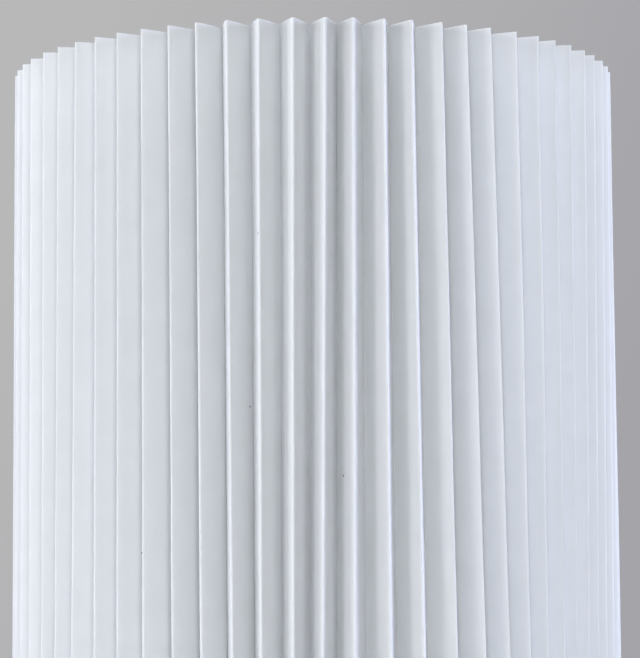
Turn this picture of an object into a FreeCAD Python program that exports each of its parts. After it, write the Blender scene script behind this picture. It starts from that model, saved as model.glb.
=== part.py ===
"""Pleated paper table lamp: a paper column that stands on a turned wooden base.

Millimetres. The origin is on the table, under the middle of the base. +Z is up and the front,
where the dimmer knob is, faces -Y. The shade lifts straight off, the bulb unscrews and the
knob turns.
"""
import FreeCAD, Part
import math
import os
import re

import Sketcher
from FreeCAD import Rotation, Vector

# ---------------------------------------------------------------- driving sizes
SIZES = [
    # Pleated paper. An azimuth is 0 at the front and grows towards the right side.
    ("shade_radius", 125.0),      # ridge folds, from the lamp's axis
    ("shade_height", 366.0),
    ("pleat_face", 13.7),         # paper between one fold and the next
    ("pleats_per_strip", 17),
    ("strip_count", 4),
    ("paper_wall", 0.4),
    ("glue_gap", 0.06),           # between a glued flap and the paper in front of it
    ("flap_share", 0.8),          # part of a face that the glued flap covers
    ("pleat_start", 1.95),        # azimuth of the first ridge
    # Groups of pleats lean sideways: degrees at the rim and at the hem.
    ("lean1_azimuth", -84.0), ("lean1_spread", 35.0), ("lean1_rim", -3.4), ("lean1_hem", -3.5),
    ("lean2_azimuth", 6.0), ("lean2_spread", 11.6), ("lean2_rim", 1.1), ("lean2_hem", -5.0),
    ("lean3_azimuth", 15.0), ("lean3_spread", 21.6), ("lean3_rim", -0.8), ("lean3_hem", 4.4),
    ("lean4_azimuth", 74.5), ("lean4_spread", 15.2), ("lean4_rim", -0.1), ("lean4_hem", -7.1),
    # Wire frame inside the paper
    ("ring_wire", 3.0),
    ("upright_wire", 2.5),
    ("upright_count", 4),
    ("valley_allowance", 1.8),    # rings stay this far inside the mean valley fold
    ("rim_ring_drop", 9.0),
    ("seat_gap", 0.3),
    # Turned base
    ("base_radius", 132.0),
    ("base_height", 34.0),        # at the outer rim, feet left out
    ("base_round", 4.0),
    ("collar_height", 6.0),       # raised disc that centres the shade
    ("collar_gap", 0.8),
    ("base_wall", 28.0),          # from the rim to the hollow underneath
    ("web_thickness", 14.0),
    ("cover_lip", 7.0),           # ledge round the hollow that the cover lies on
    ("cover_thickness", 2.0),
    ("cover_gap", 0.4),
    ("cover_screw_count", 4),
    ("screw_diameter", 3.5),
    ("screw_head", 6.6),
    ("screw_length", 14.0),
    ("slot_width", 0.9),
    ("slot_depth", 0.8),
    ("head_sink", 0.1),
    ("foot_radius", 7.0),
    ("foot_height", 4.0),
    ("foot_recess", 1.0),
    ("foot_chamfer", 1.0),
    ("foot_clearance", 2.0),      # between a foot and the cover
    ("foot_count", 4),
    ("ballast_clearance", 34.0),  # room round the ballast for the dimmer and the leads
    ("ballast_thickness", 10.0),
    ("ballast_chamfer", 2.0),
    # Stem
    ("stem_radius", 5.0),
    ("stem_bore", 3.5),
    ("stem_end", 7.0),            # below the ballast
    ("stem_top", 8.0),            # into the holder
    ("thread_gap", 0.05),
    ("thread_chamfer", 0.5),
    ("nut_flats", 14.0),
    ("nut_thickness", 4.5),
    ("washer_radius", 11.0),
    ("washer_thickness", 1.5),
    ("flange_radius", 22.0),
    ("flange_height", 4.0),
    ("flange_rim", 1.2),
    ("flange_slope", 4.0),
    ("flange_socket", 1.6),       # wall round the sleeve's foot
    ("sleeve_radius", 8.0),
    ("sleeve_wall", 1.2),
    ("sleeve_length", 78.0),
    # Bulb holder, heights above the sleeve
    ("holder_radius", 20.0),
    ("holder_wall", 1.8),
    ("holder_neck", 11.0),
    ("neck_height", 6.0),
    ("shoulder_height", 13.0),
    ("shoulder_round", 2.0),
    ("entry_radius", 7.0),
    ("entry_height", 8.0),
    ("entry_flange", 2.0),
    ("shelf", 1.5),               # that the ceramic core stands on
    ("grub_radius", 1.5),
    ("grub_length", 5.0),
    ("grub_level", 3.2),
    ("core_radius", 16.0),
    ("core_bottom", 16.0),
    ("core_top", 24.0),
    ("pedestal_radius", 11.4),
    ("pedestal_top", 27.0),
    ("skirt_top", 57.0),
    ("terminal_reach", 9.0),
    ("terminal_level", 4.0),      # of the screws above the core's underside
    ("terminal_screw", 1.3),
    ("terminal_head", 2.7),
    ("terminal_flat", 2.6),
    ("skirt_seat", 4.0),          # of the skirt on the cap, above the core's underside
    ("skirt_mouth", 4.2),         # how far the mouth's lip comes in
    ("skirt_lip", 2.0),
    ("shell_top", 44.0),
    ("tongue_foot", 8.0),
    ("tongue_bend", 3.5),
    ("tongue_rest", 2.0),
    ("tongue_end", 6.0),
    ("tongue_width", 5.0),
    ("tongue_sheet", 0.5),
    # Edison screw of 27 mm: round thread, as a circle that winds round the axis
    ("thread_pitch", 3.629),
    ("thread_mean", 12.65),
    ("thread_swing", 0.55),
    ("thread_play", 0.25),
    ("shell_wall", 0.5),
    ("cap_wall", 0.35),
    # Bulb, heights above the sleeve
    ("contact_height", 29.5),
    ("contact_gap", 0.1),
    ("bulb_length", 108.0),
    ("bulb_radius", 30.0),
    ("globe_drop", 12.0),         # from the globe's middle down to its edge
    ("globe_wall", 1.2),
    ("cap_length", 18.0),
    ("tip_radius", 4.8),
    ("tip_face", 3.0),
    ("tip_height", 2.0),
    ("insulator_radius", 10.6),
    ("insulator_height", 3.7),
    ("insulator_plug", 1.5),
    ("collar_wall", 1.6),
    ("collar_plug", 6.0),         # inside the screw cap
    ("board_thickness", 1.6),
    ("board_sink", 0.6),          # below the globe's edge
    ("chip_count", 10),
    ("chip_circle", 16.0),
    ("chip_length", 3.5),
    ("chip_width", 2.8),
    ("chip_height", 0.7),
    # Dimmer in the front of the base
    ("shaft_level", 20.0),
    ("dimmer_width", 28.0),
    ("dimmer_depth", 20.0),
    ("dimmer_height", 14.0),
    ("panel_wall", 5.0),
    ("panel_inset", 1.0),
    ("bush_radius", 5.0),
    ("bush_length", 12.0),
    ("bush_nut", 2.5),
    ("bush_washer", 4.0),
    ("bush_washer_sheet", 0.8),
    ("shaft_radius", 3.0),
    ("running_gap", 0.05),
    ("knob_radius", 13.0),
    ("knob_length", 26.0),
    ("knob_reach", 10.0),         # in front of the base
    ("knob_recess", 15.0),
    ("knob_chamfer", 1.5),
    ("knob_face", 4.0),           # wood between the bore's end and the face
    ("knob_skirt", 1.5),          # clearance round the nut
    ("knob_flutes", 24),
    ("flute_radius", 1.1),
    ("flute_start", 2.0),
    ("pin_radius", 1.2),
    ("pin_depth", 2.0),
    ("pin_inset", 4.5),
    ("pin_proud", 0.2),
    ("knob_grub_level", 5.0),
    ("knob_grub_length", 6.0),
    # Lead inlet in the back of the base
    ("gland_bore", 3.2),
    ("gland_level", 19.0),        # a little below the dimmer's shaft
    ("gland_radius", 5.4),
    ("gland_flats", 15.0),
    ("gland_reach", 10.0),        # behind the base
    ("gland_seat", 2.0),          # depth of the flat seat in the round side
    ("seat_clearance", 1.2),      # round the dome nut
    ("gland_collar", 6.0),        # straight part of the dome nut
    ("gland_tail", 6.0),          # threaded end inside the hollow
    ("gland_nut", 3.0),
    ("gland_grips", 12),
    ("grip_radius", 1.2),
    ("clamp_width", 30.0),
    ("clamp_depth", 8.0),
    ("clamp_height", 15.0),
    ("clamp_clearance", 20.0),    # from the hollow's wall to the clamp's middle
    ("clamp_screw", 1.5),
    ("clamp_head", 2.8),
    ("clamp_head_height", 2.0),
    ("block_width", 22.0),
    ("block_depth", 14.0),
    ("block_height", 16.0),
    ("block_side", 42.0),         # to the right of the lead inlet
    ("block_clearance", 27.0),    # from the hollow's wall to the block's middle
    ("block_slot", 1.0),
    ("block_slot_depth", 2.0),
    ("block_screw", 1.8),
    ("block_screw_length", 2.6),
    ("block_screw_sink", 0.4),
    # Insulated leads
    ("lead_radius", 1.1),
    ("lead_gap", 0.2),
    ("lead_entry", 3.0),          # depth of the holes that the leads end in
    ("lead_end_gap", 0.2),
]

# Heights and depths that follow from the driving sizes, written as sums of their names.
BASE_BOTTOM = "(foot_height - foot_recess)"
SEAT = f"({BASE_BOTTOM} + base_height)"
COLLAR_TOP = f"({SEAT} + collar_height)"
CAVITY_TOP = f"({COLLAR_TOP} - web_thickness)"
COVER_TOP = f"({BASE_BOTTOM} + cover_thickness)"
BALLAST_BOTTOM = f"({CAVITY_TOP} - ballast_thickness)"
STEM_BOTTOM = f"({BALLAST_BOTTOM} - stem_end)"
SLEEVE_BOTTOM = f"({COLLAR_TOP} + flange_height)"
HOLDER = f"({SLEEVE_BOTTOM} + sleeve_length)"
HEM = f"({SEAT} + seat_gap)"
RIM = f"({HEM} + shade_height)"
PLEATS = "(strip_count * pleats_per_strip)"
HALF_PLEAT = f"(180 deg / {PLEATS})"
SHADE_VALLEY = (f"(shade_radius * cos({HALF_PLEAT})"
                f" - sqrt(pleat_face ^ 2 - (shade_radius * sin({HALF_PLEAT})) ^ 2))")
RING = f"({SHADE_VALLEY} - paper_wall - valley_allowance - ring_wire / 2)"
CAVITY = "(base_radius - base_wall)"
COVER = f"({CAVITY} + cover_lip)"
COVER_SCREWS = f"(({CAVITY} + {COVER}) / 2)"
FOOT_CIRCLE = f"({COVER} + foot_clearance + foot_radius)"
BALLAST = f"({CAVITY} - ballast_clearance)"
PANEL_IN = f"({CAVITY} + panel_inset)"
PANEL_OUT = f"({PANEL_IN} + panel_wall)"
KNOB_END = "(base_radius + knob_reach)"
KNOB_START = f"({KNOB_END} - knob_length)"
SKIRT = f"({HOLDER} + core_bottom + skirt_seat)"
TIP = f"({HOLDER} + contact_height + contact_gap)"
CAP_BOTTOM = f"({TIP} + tip_height + insulator_height)"
CAP_TOP = f"({CAP_BOTTOM} + cap_length)"
GLOBE_CENTRE = f"({TIP} + bulb_length - bulb_radius)"
GLOBE_EDGE = f"({GLOBE_CENTRE} - globe_drop)"

doc = FreeCAD.newDocument("PleatedPaperLamp")
sheet = doc.addObject("Spreadsheet::Sheet", "Sizes")
for row, (alias, amount) in enumerate(SIZES, start=1):
    sheet.set(f"A{row}", alias)
    sheet.set(f"B{row}", str(amount))
    sheet.setAlias(f"B{row}", alias)
doc.recompute()
ALIASES = {alias for alias, _ in SIZES}
DIAGONAL = 45.0                   # azimuth of the feet, the uprights and the cover's screws
pieces = []


# ---------------------------------------------------------------- helpers
def cells(expression):
    """An expression in which each size's name is the sheet's cell of that name."""
    def cell(word):
        return f"Sizes.{word.group()}" if word.group() in ALIASES else word.group()
    return re.sub(r"[a-z][a-z_0-9]*", cell, str(expression))


def number(expression):
    """The value of an expression in the sheet's names."""
    return float(sheet.evalExpression(cells(expression)))


def keep(item, name):
    """Take an object as a finished piece, under its own name."""
    item.Label = name
    pieces.append(item)
    return item


def place(item, x="0", y="0", z="0"):
    """Bind an object's position."""
    item.setExpression("Placement.Base.x", cells(x))
    item.setExpression("Placement.Base.y", cells(y))
    item.setExpression("Placement.Base.z", cells(z))
    return item


def face_front(item, distance="0", level="0"):
    """Lay a piece that was made upright along -Y, with its foot at a distance from the axis."""
    item.Placement.Rotation = Rotation(Vector(1, 0, 0), 90)
    return place(item, y=f"-({distance})", z=level)


def face_back(item, distance="0", level="0"):
    """Lay a piece that was made upright along +Y."""
    item.Placement.Rotation = Rotation(Vector(1, 0, 0), -90)
    return place(item, y=distance, z=level)


def cylinder(name, radius, height, x="0", y="0", z="0"):
    solid = doc.addObject("Part::Cylinder", name)
    solid.setExpression("Radius", cells(radius))
    solid.setExpression("Height", cells(height))
    return place(solid, x, y, z)


def box(name, length, width, height, x="0", y="0", z="0"):
    """A box centred on x and y, with its underside at z."""
    solid = doc.addObject("Part::Box", name)
    solid.setExpression("Length", cells(length))
    solid.setExpression("Width", cells(width))
    solid.setExpression("Height", cells(height))
    return place(solid, f"({x}) - ({length}) / 2", f"({y}) - ({width}) / 2", z)


def hexagon(name, flats, height, z="0"):
    solid = doc.addObject("Part::Prism", name)
    solid.Polygon = 6
    solid.setExpression("Circumradius", cells(f"({flats}) / sqrt(3)"))
    solid.setExpression("Height", cells(height))
    return place(solid, z=z)


def joined(name, *parts):
    whole = doc.addObject("Part::MultiFuse", name)
    whole.Shapes = list(parts)
    return whole


def cut(name, base, *tools):
    whole = doc.addObject("Part::Cut", name)
    whole.Base = base
    whole.Tool = tools[0] if len(tools) == 1 else joined(f"{name}_tools", *tools)
    return whole


def sketch_on(body, role, name, offset="0"):
    """An empty sketch on one of the body's own planes, or a distance in front of it."""
    plane = next(item for item in body.Origin.OriginFeatures if item.Role == role)
    sketch = body.newObject("Sketcher::SketchObject", name)
    sketch.AttachmentSupport = [(plane, "")]
    sketch.MapMode = "FlatFace"
    sketch.setExpression("AttachmentOffset.Base.z", cells(offset))
    return sketch


def hold(sketch, direction, geometry, point, expression):
    """Hold a point at a distance from the sketch's origin."""
    amount = number(expression)
    link = sketch.addConstraint(Sketcher.Constraint(direction, -1, 1, geometry, point, amount))
    sketch.setExpression(f"Constraints[{link}]", cells(expression))


def draw_outline(sketch, points):
    """A closed outline of straight lines, each corner held across and up."""
    corners = [Vector(number(across), number(up), 0) for across, up in points]
    count = len(corners)
    first = sketch.GeometryCount
    for index in range(count):
        sketch.addGeometry(Part.LineSegment(corners[index], corners[(index + 1) % count]))
    for index, (across, up) in enumerate(points):
        after = first + (index + 1) % count
        sketch.addConstraint(Sketcher.Constraint("Coincident", first + index, 2, after, 1))
        hold(sketch, "DistanceX", first + index, 1, across)
        hold(sketch, "DistanceY", first + index, 1, up)


def draw_circle(sketch, across, up, radius):
    centre = Vector(number(across), number(up), 0)
    circle = sketch.addGeometry(Part.Circle(centre, Vector(0, 0, 1), number(radius)))
    link = sketch.addConstraint(Sketcher.Constraint("Radius", circle, number(radius)))
    sketch.setExpression(f"Constraints[{link}]", cells(radius))
    hold(sketch, "DistanceX", circle, 3, across)
    hold(sketch, "DistanceY", circle, 3, up)


def turned(name, points):
    """A piece turned about its own upright axis from an outline of radii and heights."""
    body = doc.addObject("PartDesign::Body", name)
    section = sketch_on(body, "XZ_Plane", f"{name}_section")
    draw_outline(section, points)
    turning = body.newObject("PartDesign::Revolution", f"{name}_turned")
    turning.Profile = section
    turning.ReferenceAxis = (section, ["V_Axis"])
    turning.Angle = 360
    doc.recompute()
    return body


def pocket(body, section, length, outwards=False):
    """Cut a section into a body, and make sure that it takes material away."""
    before = body.Shape.Volume
    cutting = body.newObject("PartDesign::Pocket", f"{section.Name}_pocket")
    cutting.Profile = section
    cutting.setExpression("Length", cells(length))
    cutting.Reversed = outwards
    doc.recompute()
    if body.Shape.Volume > before - 1e-3:
        raise RuntimeError(f"{section.Name} cuts nothing")
    return cutting


def repeat(body, feature, count):
    """Repeat a feature round the body's upright axis."""
    pattern = body.newObject("PartDesign::PolarPattern", f"{feature.Name}_round")
    pattern.Originals = [feature]
    axis = next(item for item in body.Origin.OriginFeatures if item.Role == "Z_Axis")
    pattern.Axis = (axis, [""])
    pattern.Angle = 360
    pattern.setExpression("Occurrences", cells(count))
    body.Tip = pattern
    doc.recompute()
    return pattern


def rounded(body, radius, chosen):
    """Round the edges that a test picks."""
    base = body.Tip
    names = []
    for index, edge in enumerate(base.Shape.Edges, start=1):
        if chosen(edge):
            names.append(f"Edge{index}")
    rounding = body.newObject("PartDesign::Fillet", f"{body.Name}_round")
    rounding.Base = (base, names)
    rounding.setExpression("Radius", cells(radius))
    doc.recompute()
    return rounding


def rim_edge(radius, level):
    """A test for a full circle of a given radius at a given height."""
    def chosen(edge):
        curve = edge.Curve
        if not isinstance(curve, Part.Circle):
            return False
        same_radius = abs(curve.Radius - number(radius)) < 1e-4
        return same_radius and abs(curve.Center.z - number(level)) < 1e-4
    return chosen


def shaped(name, shape):
    """A piece whose shape is worked out here from the sheet's sizes."""
    feature = doc.addObject("Part::Feature", name)
    feature.Shape = shape
    return keep(feature, name)


def round_the_axis(count, start=DIAGONAL):
    """Azimuths in degrees of pieces spaced evenly round the lamp."""
    return [start + 360.0 * index / count for index in range(count)]


def group(name, master, distance, count, start=DIAGONAL):
    """One node that holds equal pieces, evenly round the axis at a distance from it."""
    copies = []
    for azimuth in round_the_axis(count, start):
        copy = doc.addObject("Part::Feature", f"{name}_copy")
        copy.Shape = master.Shape
        turn = Rotation(Vector(0, 0, 1), azimuth)
        out = FreeCAD.Placement(turn.multVec(Vector(number(distance), 0, 0)), turn)
        copy.Placement = out.multiply(copy.Placement)
        copies.append(copy)
    holder = doc.addObject("Part::Compound", name)
    holder.Links = copies
    return keep(holder, name)


# ---------------------------------------------------------------- pleated paper
def lean(azimuth, end):
    """Sideways lean of the folds near an azimuth, in degrees, at the rim or the hem."""
    total = 0.0
    for swell in ("lean1", "lean2", "lean3", "lean4"):
        spread = math.radians(number(f"{swell}_spread"))
        away = math.radians(azimuth - number(f"{swell}_azimuth"))
        total += number(f"{swell}_{end}") * math.exp((math.cos(away) - 1) / spread ** 2)
    return total


def fold_points(end):
    """Ridge and valley folds in turn, as points seen from above, with one face more."""
    pleats = round(number(PLEATS))
    even = [number("pleat_start") + 360.0 * index / pleats for index in range(pleats)]
    ridges = [azimuth + lean(azimuth, end) for azimuth in even]
    ridges += [ridges[0] + 360.0, ridges[1] + 360.0]
    radius = number("shade_radius")
    face = number("pleat_face")
    folds = []
    for index in range(pleats + 1):
        half = math.radians(ridges[index + 1] - ridges[index]) / 2
        valley = radius * math.cos(half) - math.sqrt(face ** 2 - (radius * math.sin(half)) ** 2)
        folds.append(on_plan(radius, math.radians(ridges[index])))
        folds.append(on_plan(valley, math.radians(ridges[index]) + half))
    return folds


def on_plan(radius, azimuth):
    """A point seen from above, from its radius and its azimuth from the front."""
    return Vector(radius * math.sin(azimuth), -radius * math.cos(azimuth), 0)


def inward(start, end):
    """Unit normal of a paper face, towards the inside of the shade."""
    along = (end - start).normalize()
    return Vector(-along.y, along.x, 0)


def crossing(first, first_depth, second, second_depth):
    """Where two faces meet, each moved inwards by its depth."""
    first_normal = inward(*first)
    second_normal = inward(*second)
    first_reach = first[0].dot(first_normal) + first_depth
    second_reach = second[0].dot(second_normal) + second_depth
    turn = first_normal.x * second_normal.y - first_normal.y * second_normal.x
    x = (first_reach * second_normal.y - second_reach * first_normal.y) / turn
    y = (first_normal.x * second_reach - second_normal.x * first_reach) / turn
    return Vector(x, y, 0)


def strip_section(folds, level):
    """Closed outline of one strip: folded faces, then the flap behind the next strip."""
    wall = number("paper_wall")
    gap = number("glue_gap")
    faces = list(zip(folds, folds[1:]))
    depths = [0.0] * (len(faces) - 1) + [wall + gap]
    flap_start, flap_way = faces[-1]
    flap_end = flap_start + (flap_way - flap_start) * number("flap_share")
    first_start = faces[0][0] + (faces[0][1] - faces[0][0]).normalize() * gap
    outer = [first_start]
    inner = [first_start + inward(*faces[0]) * wall]
    for index in range(len(faces) - 1):
        first, second = faces[index], faces[index + 1]
        outer.append(crossing(first, depths[index], second, depths[index + 1]))
        inner.append(crossing(first, depths[index] + wall, second, depths[index + 1] + wall))
    normal = inward(*faces[-1])
    outer.append(flap_end + normal * depths[-1])
    inner.append(flap_end + normal * (depths[-1] + wall))
    corners = [corner + Vector(0, 0, level) for corner in outer + inner[::-1]]
    return Part.makePolygon(corners + corners[:1])


def make_paper():
    """Strips of pleats, each ruled straight from the hem up to the rim."""
    hem_folds = fold_points("hem")
    rim_folds = fold_points("rim")
    per_strip = 2 * round(number("pleats_per_strip"))
    hem_ring = hem_folds[:-2] + hem_folds
    rim_ring = rim_folds[:-2] + rim_folds
    for strip in range(round(number("strip_count"))):
        first = strip * per_strip + 1
        last = first + per_strip + 2
        bottom = strip_section(hem_ring[first:last], number(HEM))
        top = strip_section(rim_ring[first:last], number(RIM))
        shaped(f"paper_strip_{strip + 1}", Part.makeLoft([bottom, top], True, True))


# ---------------------------------------------------------------- wire frame
def torus(name, radius, wire, level):
    ring = doc.addObject("Part::Torus", name)
    ring.setExpression("Radius1", cells(radius))
    ring.setExpression("Radius2", cells(f"({wire}) / 2"))
    return place(ring, z=level)


def make_frame():
    """Two rings inside the valleys, and uprights that are welded between them."""
    hem_level = f"({HEM} + ring_wire / 2)"
    rim_level = f"({RIM} - rim_ring_drop)"
    hem_ring = keep(torus("hem_ring", RING, "ring_wire", hem_level), "hem_ring")
    rim_ring = keep(torus("rim_ring", RING, "ring_wire", rim_level), "rim_ring")
    uprights = round(number("upright_count"))
    for index, azimuth in enumerate(round_the_axis(uprights), start=1):
        across = f"{RING} * cos({azimuth} deg)"
        along = f"{RING} * sin({azimuth} deg)"
        wire = cylinder(f"upright_wire_{index}", "upright_wire / 2",
                        f"{rim_level} - {hem_level}", across, along, hem_level)
        saddled = cut(f"frame_upright_{index}", wire, hem_ring, rim_ring)
        keep(saddled, f"frame_upright_{index}")


# ---------------------------------------------------------------- base
def knob_hollow(body):
    """Round recess in the front of the wood, as deep as the panel that holds the dimmer."""
    recess = sketch_on(body, "XZ_Plane", "knob_recess", "base_radius")
    draw_circle(recess, "0", "shaft_level", "knob_recess")
    pocket(body, recess, f"base_radius - {PANEL_OUT}")


def make_top():
    """Turned board that closes the base, with the raised collar that centres the shade."""
    collar = f"({RING} - ring_wire / 2 - collar_gap)"
    board = turned("plinth_top", [
        ("stem_radius + lead_gap", CAVITY_TOP),
        ("base_radius", CAVITY_TOP),
        ("base_radius", SEAT),
        (collar, SEAT),
        (collar, COLLAR_TOP),
        ("stem_radius + lead_gap", COLLAR_TOP),
    ])
    rounded(board, "base_round", rim_edge("base_radius", SEAT))
    knob_hollow(board)
    keep(board, "plinth_top")


def make_ring():
    """Turned ring that is glued under the board, bored for the dimmer and the lead."""
    ring = turned("plinth_ring", [
        (CAVITY, CAVITY_TOP),
        (CAVITY, COVER_TOP),
        (COVER, COVER_TOP),
        (COVER, BASE_BOTTOM),
        ("base_radius", BASE_BOTTOM),
        ("base_radius", CAVITY_TOP),
    ])
    rounded(ring, "base_round", rim_edge("base_radius", BASE_BOTTOM))

    # Flat spots inside, front and back, that the dimmer and the gland's nut sit on.
    spots = sketch_on(ring, "XY_Plane", "flat_spots", CAVITY_TOP)
    half = "(dimmer_width / 2 + lead_gap)"
    for side in (-1, 1):
        inner = f"{side} * {CAVITY} / 2"
        outer = f"{side} * {PANEL_IN}"
        draw_outline(spots, [(f"-{half}", inner), (half, inner), (half, outer), (f"-{half}", outer)])
    pocket(ring, spots, f"{CAVITY_TOP} - {COVER_TOP}")

    knob_hollow(ring)
    bush_hole = sketch_on(ring, "XZ_Plane", "bush_hole", "base_radius")
    draw_circle(bush_hole, "0", "shaft_level", "bush_radius + running_gap")
    pocket(ring, bush_hole, "base_wall")
    seat = sketch_on(ring, "XZ_Plane", "gland_seat", "-base_radius")
    draw_circle(seat, "0", "gland_level", "gland_flats / 2 + seat_clearance")
    pocket(ring, seat, "gland_seat", outwards=True)
    lead_hole = sketch_on(ring, "XZ_Plane", "lead_hole", "-base_radius")
    draw_circle(lead_hole, "0", "gland_level", "gland_radius + running_gap")
    pocket(ring, lead_hole, "base_wall", outwards=True)

    # Recesses for the feet, and pilot holes for the cover's screws.
    foot_hole = sketch_on(ring, "XY_Plane", "foot_hole", BASE_BOTTOM)
    draw_circle(foot_hole, f"{FOOT_CIRCLE} * cos({DIAGONAL} deg)",
                f"{FOOT_CIRCLE} * sin({DIAGONAL} deg)", "foot_radius + lead_gap")
    recesses = pocket(ring, foot_hole, "foot_recess", outwards=True)
    repeat(ring, recesses, "foot_count")
    pilot = sketch_on(ring, "XY_Plane", "pilot_hole", COVER_TOP)
    draw_circle(pilot, f"{COVER_SCREWS} * cos({DIAGONAL} deg)",
                f"{COVER_SCREWS} * sin({DIAGONAL} deg)", "screw_diameter / 2 + running_gap")
    pilots = pocket(ring, pilot, "screw_length", outwards=True)
    repeat(ring, pilots, "cover_screw_count")
    keep(ring, "plinth_ring")


def make_underside():
    """Steel cover with countersunk screws, rubber feet and the ballast disc."""
    cover = turned("base_cover", [
        ("0", BASE_BOTTOM),
        (f"{COVER} - cover_gap", BASE_BOTTOM),
        (f"{COVER} - cover_gap", COVER_TOP),
        ("0", COVER_TOP),
    ])
    section = sketch_on(cover, "XZ_Plane", "countersink")
    draw_outline(section, [
        (COVER_SCREWS, BASE_BOTTOM),
        (f"{COVER_SCREWS} + screw_head / 2 + lead_gap", BASE_BOTTOM),
        (f"{COVER_SCREWS} + screw_diameter / 2 + lead_gap",
         f"{BASE_BOTTOM} + (screw_head - screw_diameter) / 2"),
        (f"{COVER_SCREWS} + screw_diameter / 2 + lead_gap", COVER_TOP),
        (COVER_SCREWS, COVER_TOP),
    ])
    sinking = cover.newObject("PartDesign::Groove", "countersunk_hole")
    sinking.Profile = section
    sinking.ReferenceAxis = (section, ["Edge5"])
    sinking.Angle = 360
    doc.recompute()
    repeat(cover, sinking, "cover_screw_count")
    cover.Placement.Rotation = Rotation(Vector(0, 0, 1), DIAGONAL)
    keep(cover, "base_cover")

    head = f"({BASE_BOTTOM} + head_sink)"
    screw = turned("cover_screw", [
        ("0", head),
        ("screw_head / 2", head),
        ("screw_diameter / 2", f"{head} + (screw_head - screw_diameter) / 2"),
        ("screw_diameter / 2", f"{BASE_BOTTOM} + screw_length - screw_diameter / 2"),
        ("0", f"{BASE_BOTTOM} + screw_length"),
    ])
    slot = box("driver_slot", "screw_head", "slot_width", "slot_depth", z=head)
    slot_across = box("driver_slot_across", "slot_width", "screw_head", "slot_depth", z=head)
    slotted = cut("slotted_screw", screw, slot, slot_across)
    doc.recompute()
    group("cover_screws", slotted, COVER_SCREWS, round(number("cover_screw_count")))

    for index, azimuth in enumerate(round_the_axis(round(number("foot_count"))), start=1):
        foot = turned(f"rubber_foot_{index}", [
            ("0", "0"),
            ("foot_radius - foot_chamfer", "0"),
            ("foot_radius", "foot_chamfer"),
            ("foot_radius", "foot_height"),
            ("0", "foot_height"),
        ])
        place(foot, f"{FOOT_CIRCLE} * cos({azimuth} deg)", f"{FOOT_CIRCLE} * sin({azimuth} deg)")
        keep(foot, f"rubber_foot_{index}")

    ballast = turned("ballast_disc", [
        ("stem_radius + lead_gap", BALLAST_BOTTOM),
        (f"{BALLAST} - ballast_chamfer", BALLAST_BOTTOM),
        (BALLAST, f"{BALLAST_BOTTOM} + ballast_chamfer"),
        (BALLAST, CAVITY_TOP),
        ("stem_radius + lead_gap", CAVITY_TOP),
    ])
    keep(ballast, "ballast_disc")


# ---------------------------------------------------------------- stem
def make_stem():
    """Threaded tube through ballast and wood, clamped by a nut below and the holder above."""
    tube = turned("stem_tube", [
        ("stem_bore", STEM_BOTTOM),
        ("stem_radius - thread_chamfer", STEM_BOTTOM),
        ("stem_radius", f"{STEM_BOTTOM} + thread_chamfer"),
        ("stem_radius", f"{HOLDER} + stem_top - thread_chamfer"),
        ("stem_radius - thread_chamfer", f"{HOLDER} + stem_top"),
        ("stem_bore", f"{HOLDER} + stem_top"),
    ])
    keep(tube, "stem_tube")
    washer_bottom = f"({BALLAST_BOTTOM} - washer_thickness)"
    washer = turned("stem_washer", [
        ("stem_radius + lead_gap", washer_bottom),
        ("washer_radius", washer_bottom),
        ("washer_radius", BALLAST_BOTTOM),
        ("stem_radius + lead_gap", BALLAST_BOTTOM),
    ])
    keep(washer, "stem_washer")
    nut_bottom = f"({washer_bottom} - nut_thickness)"
    nut_blank = hexagon("stem_nut_blank", "nut_flats", "nut_thickness", nut_bottom)
    nut_hole = cylinder("stem_nut_hole", "stem_radius + thread_gap", "nut_thickness",
                        z=nut_bottom)
    keep(cut("stem_nut", nut_blank, nut_hole), "stem_nut")
    flange = turned("stem_flange", [
        ("stem_radius + lead_gap", COLLAR_TOP),
        ("flange_radius", COLLAR_TOP),
        ("flange_radius", f"{COLLAR_TOP} + flange_rim"),
        ("flange_radius - flange_slope", f"{COLLAR_TOP} + flange_height / 2"),
        ("sleeve_radius + 2 * flange_socket", f"{SLEEVE_BOTTOM} - flange_rim / 2"),
        ("sleeve_radius + flange_rim", f"{SLEEVE_BOTTOM} + flange_socket"),
        ("sleeve_radius + running_gap", f"{SLEEVE_BOTTOM} + flange_socket"),
        ("sleeve_radius + running_gap", SLEEVE_BOTTOM),
        ("stem_radius + lead_gap", SLEEVE_BOTTOM),
    ])
    keep(flange, "stem_flange")
    sleeve = turned("stem_sleeve", [
        ("sleeve_radius - sleeve_wall", SLEEVE_BOTTOM),
        ("sleeve_radius", SLEEVE_BOTTOM),
        ("sleeve_radius", HOLDER),
        ("sleeve_radius - sleeve_wall", HOLDER),
    ])
    keep(sleeve, "stem_sleeve")


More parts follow.
